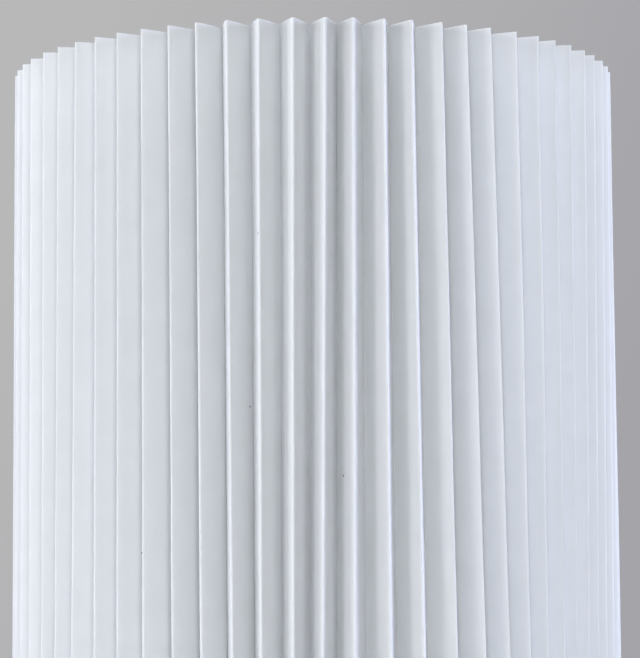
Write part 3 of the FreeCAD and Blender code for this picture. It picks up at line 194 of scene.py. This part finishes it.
# %% [markdown]
# ## Lamps
#
# Large lamps close to the object give soft light. The lamp in the photograph is lit from the
# front and from both sides: at its left and right the faces that look at the camera are the
# brightest, and in the middle, where each face looks sideways, they are grey with a bright line on
# every ridge. The light from the right is a little bluer, like a window. One lamp overhead lights
# the rim and the inside, and two lamps behind light the back. The powers are chosen so that the
# brightness across the paper is close to the photograph's.

# %% Lamps
LAMP_AIM = Vector((0, 0, 0.25))
LAMP_DISTANCE = 1.6
LAMP_HEIGHT = 0.9


def soft_box(name, azimuth, elevation, width, power, tint="ffffff"):
    """A rectangular lamp that faces the shade. Azimuth 0 is in front and grows to the right."""
    around = math.radians(azimuth)
    above = math.radians(elevation)
    away = Vector((math.sin(around) * math.cos(above), -math.cos(around) * math.cos(above),
                   math.sin(above)))
    shining = bpy.data.lights.new(name, "AREA")
    shining.shape = "RECTANGLE"
    shining.size = width
    shining.size_y = LAMP_HEIGHT
    shining.energy = power
    shining.color = colour(tint)[:3]
    lamp = bpy.data.objects.new(name, shining)
    scene.collection.objects.link(lamp)
    lamp.location = LAMP_AIM + away * LAMP_DISTANCE
    lamp.rotation_mode = "QUATERNION"
    lamp.rotation_quaternion = away.to_track_quat("Z", "Y")
    return lamp


soft_box("front_lamp", 2, 5, 0.5, 13.1, "fdfffc")
soft_box("right_front_lamp", 45, 5, 0.5, 1.7, "fffcfa")
soft_box("left_front_lamp", -45, 5, 0.5, 6.6)
soft_box("left_lamp", -75, 5, 0.5, 9.6, "f5faff")
soft_box("far_left_lamp", -90, 5, 0.5, 4.8, "e6e3ff")
soft_box("right_lamp", 90, 5, 0.5, 24.6, "dce3ff")
soft_box("top_lamp", 0, 88, 0.9, 20.2)
soft_box("back_lamp", 180, 25, 1.2, 12.0)
soft_box("back_left_lamp", -135, 10, 0.6, 5.0)

# %% [markdown]
# ## Where the folds lie
#
# The paper is folded into 68 pleats, though 66 or 67 would fit the photograph about as well. Every
# face between two folds is 13.7 mm wide, so where two ridges are close together the valley between
# them lies deeper. The folds of the real shade aren't spaced evenly: in four places whole groups of
# pleats lean sideways, some at the rim and others at the hem. Each of these is a smooth swell round
# the shade, and every ridge wanders a little besides.

# %% Where the folds lie
PLEATS = 68
STRIPS = 4
FACE = 13.7 * MM
FIRST_RIDGE = 1.95  # degrees from the front
# Azimuth and spread of each swell, then its lean at the rim and at the hem, all in degrees.
SWELLS = ((-84.0, 35.0, -3.4, -3.5), (6.0, 11.6, 1.1, -5.0),
          (15.0, 21.6, -0.8, 4.4), (74.5, 15.2, -0.1, -7.1))
RIDGE_LOSS = 0.78 * MM  # how far rounding takes a ridge back from its sharp corner
HIDDEN_WANDER = 0.3  # degrees, for the ridges that have no measured value
RIM_SEED = 11
HEM_SEED = 12
# How far the 25 ridges nearest the front wander from there, from left to right, in degrees. The
# hem is below the picture, so its values carry on the line that each ridge has in the picture.
RIM_WANDER = (-0.27, 0.35, 0.4, 0.28, 0.18, 0.05, -0.09, -0.04, -0.17, -0.12, -0.07, 0.27, 0.27,
              -0.27, -0.04, -0.21, 0.36, -0.01, -0.32, 0.21, 0.5, 0.05, -0.16, 0.19, -0.31)
HEM_WANDER = (0.35, 0.6, -0.4, -0.8, 0.12, -0.13, -0.05, 0.3, 0.1, 0.14, -0.14, 0.22, -0.06,
              0.0, 0.1, -0.26, -0.18, 0.21, 0.36, -0.15, -0.5, 0.33, 0.09, 0.4, 0.4)


def ridge_azimuths(lean_column, wander, seed):
    """Azimuth of each ridge in degrees, at the rim or the hem."""
    chance = random.Random(seed)
    azimuths = []
    for pleat in range(PLEATS):
        even = FIRST_RIDGE + 360 * pleat / PLEATS
        seen = (pleat + len(wander) // 2) % PLEATS
        azimuth = even + (wander[seen] if seen < len(wander)
                          else chance.uniform(-HIDDEN_WANDER, HIDDEN_WANDER))
        for swell in SWELLS:
            spread = math.radians(swell[1])
            away = math.radians(even - swell[0])
            azimuth += swell[lean_column] * math.exp((math.cos(away) - 1) / spread ** 2)
        azimuths.append(azimuth)
    return azimuths + [azimuths[0] + 360, azimuths[1] + 360]


def on_plan(radius, degrees):
    """A point seen from above, in front of the axis at azimuth 0."""
    around = math.radians(degrees)
    return Vector((radius * math.sin(around), -radius * math.cos(around), 0))


def folds_in_turn(azimuths):
    """Ridge, valley, ridge and so on, once round the shade and two folds more."""
    folds = []
    for before, after in zip(azimuths, azimuths[1:]):
        half = math.radians(after - before) / 2
        depth = math.sqrt(FACE ** 2 - (SHADE_RADIUS * math.sin(half)) ** 2)
        folds.append(on_plan(SHADE_RADIUS + RIDGE_LOSS, before))
        folds.append(on_plan(SHADE_RADIUS * math.cos(half) - depth, (before + after) / 2))
    return folds


rim_folds = folds_in_turn(ridge_azimuths(2, RIM_WANDER, RIM_SEED))
hem_folds = folds_in_turn(ridge_azimuths(3, HEM_WANDER, HEM_SEED))
print(len(rim_folds), "folds; valleys at", round(rim_folds[1].length / MM, 1), "mm")

# %% [markdown]
# ## Folding a strip
#
# The column is taken to be glued up from four strips of about half a metre. Each strip could be
# drawn as a zigzag and extruded, but folding a flat sheet is nearer to the real work and keeps the
# leans: a grid is the flat paper, and its columns of vertices are moved to the folds at the hem and
# at the rim. Stiff paper resists the fold, so each face bellies outwards by 0.4 mm between its
# folds, and that gives every face its slow change of tone. The last
# face is a glue flap that lies behind the next strip. The folds are then rounded by a bevel, wide
# on the ridges, which spring open, and narrow in the valleys, which are glued to the wire.

# %% Folding a strip
FACES = 2 * PLEATS // STRIPS
WALL = 0.4 * MM
FLAP_GAP = 0.06 * MM
FLAP_SHARE = 0.8  # of a whole face
BELLY = 0.4 * MM
ACROSS = 5  # columns of the grid in each face
EDGE_BACK = 0.8 * MM  # how far the strip's first edge stands back from the ridge
RIDGE_ROUNDING = 1.3 * MM
VALLEY_ROUNDING = 0.3 * MM
SAME_PLACE = 0.01 * MM


def only(test, kind="edges"):
    """In edit mode, select only the edges or the faces that pass a test."""
    bpy.ops.mesh.select_mode(type="EDGE" if kind == "edges" else "FACE")
    bpy.ops.mesh.select_all(action="DESELECT")
    sheet = bmesh.from_edit_mesh(bpy.context.object.data)
    chosen = [part for part in getattr(sheet, kind) if test(part)]
    for part in chosen:
        part.select_set(True)
    sheet.select_flush_mode()
    bmesh.update_edit_mesh(bpy.context.object.data)
    return len(chosen)


def upright(edge):
    """Whether an edge runs from the hem towards the rim."""
    along = edge.verts[1].co - edge.verts[0].co
    return abs(along.z) > 0.5 * along.length


def standing_on(corners):
    """A test for the upright edges whose lower ends are at these corners of the hem."""
    def test(edge):
        foot = min(edge.verts, key=lambda end: end.co.z).co
        near = any((foot.xy - corner.xy).length < SAME_PLACE for corner in corners)
        return near and upright(edge)
    return test


def strip_corners(folds, first):
    """Where the columns of one strip go: its folds, then the end of its flap."""
    corners = [folds[(first + column) % (2 * PLEATS)].copy() for column in range(FACES + 2)]
    start = (corners[1] - corners[0]).normalized()
    flap = corners[-1] - corners[-2]
    inwards = Vector((-flap.y, flap.x, 0)).normalized() * (WALL + FLAP_GAP)
    corners[0] += start * EDGE_BACK
    corners[-1] = corners[-2] + flap * FLAP_SHARE + inwards
    corners[-2] += (inwards - corners[-2].normalized() * WALL) / 2
    return corners


def on_strip(corners, column):
    """Where one column of the grid goes, on a face that bellies outwards."""
    face = min(column // ACROSS, FACES)
    along = (column - face * ACROSS) / ACROSS
    side = corners[face + 1] - corners[face]
    belly = along * (FLAP_SHARE if face == FACES else 1)
    outwards = Vector((side.y, -side.x, 0)).normalized() * 4 * BELLY * belly * (1 - belly)
    return corners[face] + side * along + outwards


def fold_strip(number):
    """One strip of paper, folded, with its ridges and its valleys rounded."""
    first = (number - 1) * FACES + 1
    hem = strip_corners(hem_folds, first)
    rim = strip_corners(rim_folds, first)
    bpy.ops.object.select_all(action="DESELECT")
    columns = (FACES + 1) * ACROSS
    bpy.ops.mesh.primitive_grid_add(x_subdivisions=columns, y_subdivisions=1, size=1)
    strip = bpy.context.object
    strip.name = f"pleated_paper_{number}"
    for corner in strip.data.vertices:
        at_rim = corner.co.y > 0
        place = on_strip(rim if at_rim else hem, round((corner.co.x + 0.5) * columns))
        corner.co = (place.x, place.y, rim_level if at_rim else hem_level)
    bpy.ops.object.mode_set(mode="EDIT")
    ridges = only(standing_on(hem[1:-1:2]))
    bpy.ops.mesh.bevel(offset=RIDGE_ROUNDING, segments=4, profile=0.5, affect="EDGES")
    valleys = only(standing_on(hem[2:-1:2]))
    bpy.ops.mesh.bevel(offset=VALLEY_ROUNDING, segments=2, profile=0.5, affect="EDGES")
    bpy.ops.object.mode_set(mode="OBJECT")
    print(strip.name, "has", ridges, "ridges and", valleys, "valleys")
    return strip


strips = [fold_strip(number) for number in range(1, STRIPS + 1)]

# %% [markdown]
# ## Waves, thickness and the cut edge
#
# A paper face is never quite even: damp makes it cockle a little. Two Displace modifiers move the
# faces by a few tenths of a millimetre, one in long waves and one in shorter ones. They need
# vertices to move, so the faces are first cut along their length. Solidify then gives the sheet
# its 0.4 mm inwards, which also makes the thin cut edge at the rim.

# %% Waves, thickness and the cut edge
LONG_WAVE = 90 * MM
LONG_DEPTH = 0.35 * MM
SHORT_WAVE = 30 * MM
SHORT_DEPTH = 0.12 * MM
CUTS_UPWARDS = 25


def shaped_by(piece, kind, **settings):
    """Add a modifier to a piece, set it and apply it."""
    bpy.ops.object.select_all(action="DESELECT")
    piece.select_set(True)
    bpy.context.view_layer.objects.active = piece
    modifier = piece.modifiers.new(kind.lower(), kind)
    for name, value in settings.items():
        setattr(modifier, name, value)
    bpy.ops.object.modifier_apply(modifier=modifier.name)


def swells(name, size):
    """A soft procedural pattern whose bumps are this large."""
    pattern = bpy.data.textures.new(name, "CLOUDS")
    pattern.noise_scale = size
    pattern.noise_depth = 1
    return pattern


long_waves = swells("long_waves", LONG_WAVE)
short_waves = swells("short_waves", SHORT_WAVE)

for number, strip in enumerate(strips, start=1):
    bpy.ops.object.select_all(action="DESELECT")
    strip.select_set(True)
    bpy.context.view_layer.objects.active = strip
    bpy.ops.object.mode_set(mode="EDIT")
    only(upright)
    bpy.ops.mesh.subdivide(number_cuts=CUTS_UPWARDS)
    bpy.ops.object.mode_set(mode="OBJECT")
    shaped_by(strip, "DISPLACE", texture=long_waves, strength=LONG_DEPTH, mid_level=0.5)
    shaped_by(strip, "DISPLACE", texture=short_waves, strength=SHORT_DEPTH, mid_level=0.5)
    shaped_by(strip, "SOLIDIFY", thickness=WALL, offset=-1)
    bpy.ops.object.shade_smooth_by_angle(angle=math.radians(40))
    shaped_by(strip, "WEIGHTED_NORMAL", weight=90, keep_sharp=True)
    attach(strip, "shade")
    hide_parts(f"paper_strip_{number}")
    print(strip.name, len(strip.data.polygons), "faces")

# %% [markdown]
# ## Pleating paper
#
# The shade is machine-made pleating paper: wood fibres pressed with a little binder, cool white,
# matt on both sides and thin enough to glow. To the eye that is a soft, slightly uneven white with
# short fibres, a faint cloudiness, and here and there a dark speck of bark. Light goes through it,
# so a translucent shader is mixed with the matt one. Real fibres are 0.03 mm thick, too fine to
# show, so they are drawn 0.5 mm wide.

# %% Pleating paper
FLECK_SPACING = 26  # mm
FLECK_RADIUS = 0.018  # as a share of the spacing
GLOW_THROUGH = 0.15

paper = bpy.data.materials.new("cool_white_pleating_paper")
paper.use_nodes = True
tree = paper.node_tree
tree.nodes.clear()
here = add(tree, "ShaderNodeTexCoord").outputs["Object"]
clouds = add(tree, "ShaderNodeTexNoise", {"Vector": here, "Scale": per_metre(9), "Detail": 4.0})
fibres = add(tree, "ShaderNodeTexNoise", {"Vector": here, "Scale": per_metre(0.5), "Detail": 6.0,
                                          "Roughness": 0.65, "Distortion": 1.2})
whites = add(tree, "ShaderNodeMix", {"Factor": clouds.outputs[0]}, data_type="RGBA")
whites.inputs[6].default_value = colour("dfe2e5")
whites.inputs[7].default_value = colour("e6e8ec")
grey_fibre = add(tree, "ShaderNodeMapRange", {"Value": fibres.outputs[0], "From Min": 0.62,
                                              "From Max": 0.8, "To Max": 0.35})
fibred = add(tree, "ShaderNodeMix", {"Factor": grey_fibre.outputs["Result"]}, data_type="RGBA")
tree.links.new(whites.outputs[2], fibred.inputs[6])
fibred.inputs[7].default_value = colour("d3d6d9")
grid = add(tree, "ShaderNodeTexVoronoi", {"Vector": here, "Scale": per_metre(FLECK_SPACING)})
near = add(tree, "ShaderNodeMath", {0: grid.outputs["Distance"], 1: FLECK_RADIUS},
           operation="LESS_THAN")
speckled = add(tree, "ShaderNodeMix", {"Factor": near.outputs[0]}, data_type="RGBA")
tree.links.new(fibred.outputs[2], speckled.inputs[6])
speckled.inputs[7].default_value = colour("3e3a34")
bump = add(tree, "ShaderNodeBump", {"Height": fibres.outputs[0], "Strength": 0.25,
                                    "Distance": 0.1 * MM})
matt = add(tree, "ShaderNodeBsdfPrincipled", {"Base Color": speckled.outputs[2],
                                              "Normal": bump.outputs[0], "Roughness": 0.82,
                                              "Specular IOR Level": 0.25, "Sheen Weight": 0.05})
through = add(tree, "ShaderNodeBsdfTranslucent", {"Color": speckled.outputs[2]})
sheet = add(tree, "ShaderNodeMixShader", {0: GLOW_THROUGH, 1: matt.outputs[0],
                                          2: through.outputs[0]})
add(tree, "ShaderNodeOutputMaterial", {"Surface": sheet.outputs[0]})
for strip in strips:
    strip.data.materials.clear()
    strip.data.materials.append(paper)
print(paper.name, "on", len(strips), "strips")

# %% [markdown]
# ## Oiled ash
#
# The base and the knob are turned from ash: a pale, straight-grained wood with wide early wood full
# of open pores and a darker line of late wood each year. The rings are drawn as cylinders about a
# pith that lies outside the block, so that the same block of wood shows long lines on its sides and
# arches on its top. Noise that is stretched along the grain bends them. The years are about 3 mm
# wide, and the pores, really 0.2 mm, are drawn 0.6 mm wide and some 12 mm long.

# %% Oiled ash
YEAR = 3.2 * MM
WAVE_TURN = 0.314  # metres between two bands of a wave texture of scale 1


def oiled_ash(name, pith, along):
    """Ash with its grain along X or Y, and the middle of its rings at a point."""
    wood = bpy.data.materials.new(name)
    wood.use_nodes = True
    tree = wood.node_tree
    tree.nodes.clear()
    stretch = (0.05, 1, 1) if along == "X" else (1, 0.05, 1)
    here = add(tree, "ShaderNodeTexCoord").outputs["Object"]
    block = add(tree, "ShaderNodeVectorMath", {0: here, 1: pith}, operation="SUBTRACT")
    grain = add(tree, "ShaderNodeVectorMath", {0: block.outputs[0], 1: stretch},
                operation="MULTIPLY").outputs[0]
    years = add(tree, "ShaderNodeTexWave", {"Vector": grain, "Scale": WAVE_TURN / YEAR,
                                            "Distortion": 7.0, "Detail": 3.0,
                                            "Detail Scale": 0.22, "Detail Roughness": 0.45},
                wave_type="RINGS", rings_direction=along, wave_profile="SIN")
    late = add(tree, "ShaderNodeMapRange", {"Value": years.outputs["Fac"], "From Min": 0.45,
                                            "From Max": 1.0}, interpolation_type="SMOOTHSTEP")
    pores = add(tree, "ShaderNodeTexNoise", {"Vector": grain, "Scale": per_metre(0.6),
                                             "Detail": 2.0})
    open_pores = add(tree, "ShaderNodeMapRange", {"Value": pores.outputs[0], "From Min": 0.56,
                                                  "From Max": 0.68, "To Max": 0.8})
    tint = add(tree, "ShaderNodeTexNoise", {"Vector": grain, "Scale": per_metre(22),
                                            "Detail": 3.0})
    pale = add(tree, "ShaderNodeMix", {"Factor": tint.outputs[0]}, data_type="RGBA")
    pale.inputs[6].default_value = colour("d9bd92")
    pale.inputs[7].default_value = colour("e6cfa8")
    ringed = add(tree, "ShaderNodeMix", {"Factor": late.outputs["Result"]}, data_type="RGBA")
    tree.links.new(pale.outputs[2], ringed.inputs[6])
    ringed.inputs[7].default_value = colour("c49f6f")
    pored = add(tree, "ShaderNodeMix", {"Factor": open_pores.outputs["Result"]}, data_type="RGBA")
    tree.links.new(ringed.outputs[2], pored.inputs[6])
    pored.inputs[7].default_value = colour("a37d4f")
    dull = add(tree, "ShaderNodeMapRange", {"Value": pores.outputs[0], "From Min": 0.4,
                                            "From Max": 0.7, "To Min": 0.42, "To Max": 0.62})
    dents = add(tree, "ShaderNodeBump", {"Height": open_pores.outputs["Result"],
                                         "Strength": 0.35, "Distance": 0.15 * MM}, invert=True)
    oil = add(tree, "ShaderNodeBsdfPrincipled", {"Base Color": pored.outputs[2],
                                                 "Roughness": dull.outputs["Result"],
                                                 "Normal": dents.outputs[0],
                                                 "Coat Weight": 0.12, "Coat Roughness": 0.35})
    add(tree, "ShaderNodeOutputMaterial", {"Surface": oil.outputs[0]})
    return wood


def finish_with(material, *names):
    """Give CAD pieces a material in every slot they have."""
    for name in names:
        piece = nodes[name]
        if not piece.material_slots:
            piece.data.materials.append(material)
        for slot in piece.material_slots:
            slot.link = "OBJECT"
            slot.material = material
    finished.extend(names)


finished = []
finish_with(oiled_ash("ash_board_oiled", (0, 0.03, -0.16), "X"), "plinth_top")
finish_with(oiled_ash("ash_ring_oiled", (0, -0.09, 0.20), "X"), "plinth_ring")
finish_with(oiled_ash("ash_knob_oiled", (0.02, 0, -0.01), "Y"), "dimmer_knob")
print("ash on", finished)

# %% [markdown]
# ## Metals
#
# Five metals appear on the lamp. Bare or plated metal is metallic, with the metal's own colour and
# a roughness that the last tool left: turned brass keeps fine rings from the lathe, zinc plate is
# greyer and blotchy, nickel on the bulb's cap is bright. Painted metal is not metallic at all: the
# powder coat on the wire and on the cover is a plastic skin with a soft orange peel.


# %% Metals
def bare_metal(name, code, roughness, blotch, ring=None):
    """Metal with uneven polish, and with lathe rings this many millimetres apart if given."""
    metal = bpy.data.materials.new(name)
    metal.use_nodes = True
    tree = metal.node_tree
    tree.nodes.clear()
    here = add(tree, "ShaderNodeTexCoord").outputs["Object"]
    cloudy = add(tree, "ShaderNodeTexNoise", {"Vector": here, "Scale": per_metre(blotch),
                                              "Detail": 4.0})
    polish = add(tree, "ShaderNodeMapRange", {"Value": cloudy.outputs[0], "From Min": 0.3,
                                              "From Max": 0.7, "To Min": roughness * 0.75,
                                              "To Max": roughness * 1.3})
    shade = add(tree, "ShaderNodeMix", {"Factor": cloudy.outputs[0]}, data_type="RGBA")
    shade.inputs[6].default_value = colour(code)
    shade.inputs[7].default_value = tuple(min(part * 1.12, 1) for part in colour(code))
    if ring:
        height = add(tree, "ShaderNodeSeparateXYZ", {"Vector": here}).outputs["Z"]
        marks = add(tree, "ShaderNodeTexNoise", {"W": height, "Scale": per_metre(ring),
                                                 "Detail": 2.0}, noise_dimensions="1D")
    else:
        marks = add(tree, "ShaderNodeTexNoise", {"Vector": here, "Scale": per_metre(0.7),
                                                 "Detail": 3.0})
    bump = add(tree, "ShaderNodeBump", {"Height": marks.outputs[0], "Strength": 0.18,
                                        "Distance": 0.05 * MM})
    shader = add(tree, "ShaderNodeBsdfPrincipled", {"Base Color": shade.outputs[2],
                                                    "Metallic": 1.0, "Normal": bump.outputs[0],
                                                    "Roughness": polish.outputs["Result"]})
    add(tree, "ShaderNodeOutputMaterial", {"Surface": shader.outputs[0]})
    return metal


def powder_coat(name, code, roughness):
    """Baked powder paint: even colour, orange peel of about 1 mm."""
    coat = bpy.data.materials.new(name)
    coat.use_nodes = True
    tree = coat.node_tree
    tree.nodes.clear()
    here = add(tree, "ShaderNodeTexCoord").outputs["Object"]
    peel = add(tree, "ShaderNodeTexNoise", {"Vector": here, "Scale": per_metre(1.1),
                                            "Detail": 1.5})
    drift = add(tree, "ShaderNodeTexNoise", {"Vector": here, "Scale": per_metre(30)})
    tone = add(tree, "ShaderNodeMix", {"Factor": drift.outputs[0]}, data_type="RGBA")
    tone.inputs[6].default_value = colour(code)
    tone.inputs[7].default_value = tuple(min(part * 1.08, 1) for part in colour(code))
    bump = add(tree, "ShaderNodeBump", {"Height": peel.outputs[0], "Strength": 0.22,
                                        "Distance": 0.08 * MM})
    shader = add(tree, "ShaderNodeBsdfPrincipled", {"Base Color": tone.outputs[2],
                                                    "Normal": bump.outputs[0],
                                                    "Roughness": roughness})
    add(tree, "ShaderNodeOutputMaterial", {"Surface": shader.outputs[0]})
    return coat


finish_with(powder_coat("white_powder_coat", "f0efec", 0.42), "rim_ring", "hem_ring",
            *[f"frame_upright_{number}" for number in (1, 2, 3, 4)])
finish_with(powder_coat("black_powder_coat", "2a2a2c", 0.5), "base_cover")
finish_with(bare_metal("turned_brass", "c9b07c", 0.3, 14, ring=0.35), "stem_flange",
            "stem_sleeve", "holder_entry_nut")
finish_with(bare_metal("stamped_brass", "c8ab70", 0.34, 6), "centre_contact",
            "holder_screw_shell", "dimmer_bush", "pointer_pin")
finish_with(bare_metal("zinc_plate", "b4b5b2", 0.36, 5), "cover_screws", "lead_clamp_screws",
            "terminal_block_screws", "holder_terminal_screws", "holder_grub_screw",
            "knob_grub_screw", "stem_tube", "stem_nut", "stem_washer", "dimmer_washer",
            "dimmer_nut", "dimmer_shaft")
finish_with(bare_metal("nickel_plate", "c9c5bd", 0.2, 8), "bulb_screw_cap", "bulb_tip_contact")
finish_with(bare_metal("hot_rolled_steel", "55565a", 0.55, 11), "ballast_disc")
print(len(finished), "pieces finished so far")

# %% [markdown]
# ## Plastics, rubber and ceramics
#
# A moulded part takes its surface from the mould. The holder is pressed from a dark resin that
# comes out glossy, the dimmer's case and the gland are spark-eroded to a fine grain, and the wires'
# insulation is smooth with a slight wave where it was coiled. Rubber feet are dull, and the
# ceramic core of the holder is unglazed, with a fine tooth. One recipe serves them all: a colour
# that drifts a little, a grain of a given size and a roughness.


# %% Plastics, rubber and ceramics
def moulded(name, code, roughness, grain, depth, coat=0.0, glow=0.0):
    """A moulded or pressed surface with a grain this many millimetres wide and deep."""
    skin = bpy.data.materials.new(name)
    skin.use_nodes = True
    tree = skin.node_tree
    tree.nodes.clear()
    here = add(tree, "ShaderNodeTexCoord").outputs["Object"]
    drift = add(tree, "ShaderNodeTexNoise", {"Vector": here, "Scale": per_metre(18),
                                             "Detail": 3.0})
    tone = add(tree, "ShaderNodeMix", {"Factor": drift.outputs[0]}, data_type="RGBA")
    tone.inputs[6].default_value = tuple(part * 0.93 for part in colour(code)[:3]) + (1.0,)
    tone.inputs[7].default_value = colour(code)
    pits = add(tree, "ShaderNodeTexNoise", {"Vector": here, "Scale": per_metre(grain),
                                            "Detail": 2.0})
    uneven = add(tree, "ShaderNodeMapRange", {"Value": pits.outputs[0], "From Min": 0.3,
                                              "From Max": 0.7, "To Min": roughness * 0.85,
                                              "To Max": min(roughness * 1.15, 1)})
    bump = add(tree, "ShaderNodeBump", {"Height": pits.outputs[0], "Strength": 0.3,
                                        "Distance": depth * MM})
    shader = add(tree, "ShaderNodeBsdfPrincipled", {"Base Color": tone.outputs[2],
                                                    "Normal": bump.outputs[0],
                                                    "Roughness": uneven.outputs["Result"],
                                                    "Coat Weight": coat,
                                                    "Subsurface Weight": glow,
                                                    "Subsurface Scale": 3 * MM})
    add(tree, "ShaderNodeOutputMaterial", {"Surface": shader.outputs[0]})
    return skin


finish_with(moulded("black_phenolic_resin", "1c1b1a", 0.25, 2.5, 0.02, coat=0.3),
            "holder_cap", "holder_skirt")
finish_with(moulded("steatite_ceramic", "e9e4d8", 0.62, 0.5, 0.05, glow=0.1), "holder_core")
finish_with(moulded("black_pbt", "242427", 0.5, 0.4, 0.04), "dimmer_module")
finish_with(moulded("black_nylon", "1e1e20", 0.45, 0.6, 0.05), "inlet_gland", "gland_dome_nut",
            "gland_lock_nut", "lead_clamp")
finish_with(moulded("natural_nylon", "e4e0d2", 0.4, 0.8, 0.04, glow=0.2), "terminal_block")
finish_with(moulded("black_rubber", "201f1f", 0.85, 0.5, 0.08),
            *[f"rubber_foot_{number}" for number in (1, 2, 3, 4)])
finish_with(moulded("brown_pvc", "5a3522", 0.38, 3.0, 0.03), "lead_live")
finish_with(moulded("blue_pvc", "2c5a9c", 0.38, 3.0, 0.03), "lead_neutral")
finish_with(moulded("black_pvc", "232325", 0.38, 3.0, 0.03), "lead_switched")
print(len(finished), "pieces finished so far")

# %% [markdown]
# ## Bulb
#
# The bulb is a common LED bulb: a nickel cap, black glass between the cap and its tip, a
# white moulded collar that also carries the heat away, and an opal globe. Opal plastic scatters
# light inside its wall, so subsurface scattering softens its edge. It is switched off, as in the
# photograph. Inside sit a white board and ten chips under yellow silicone.

# %% Bulb
finish_with(moulded("black_vitrite_glass", "141417", 0.12, 1.5, 0.02, coat=0.5),
            "bulb_insulator")
finish_with(moulded("white_pbt", "e0dfda", 0.38, 0.6, 0.02, glow=0.1), "bulb_collar")
finish_with(moulded("opal_polycarbonate", "e2e1dd", 0.32, 4.0, 0.01, coat=0.1, glow=0.5),
            "bulb_globe")
finish_with(moulded("white_solder_mask", "ecebe6", 0.35, 0.8, 0.02), "led_board")
finish_with(moulded("yellow_silicone", "e3bf3c", 0.3, 0.9, 0.03, glow=0.2), "led_chips")
left = sorted(set(nodes) - set(finished) - {f"paper_strip_{number}" for number in (1, 2, 3, 4)})
print("pieces without a finish:", left)
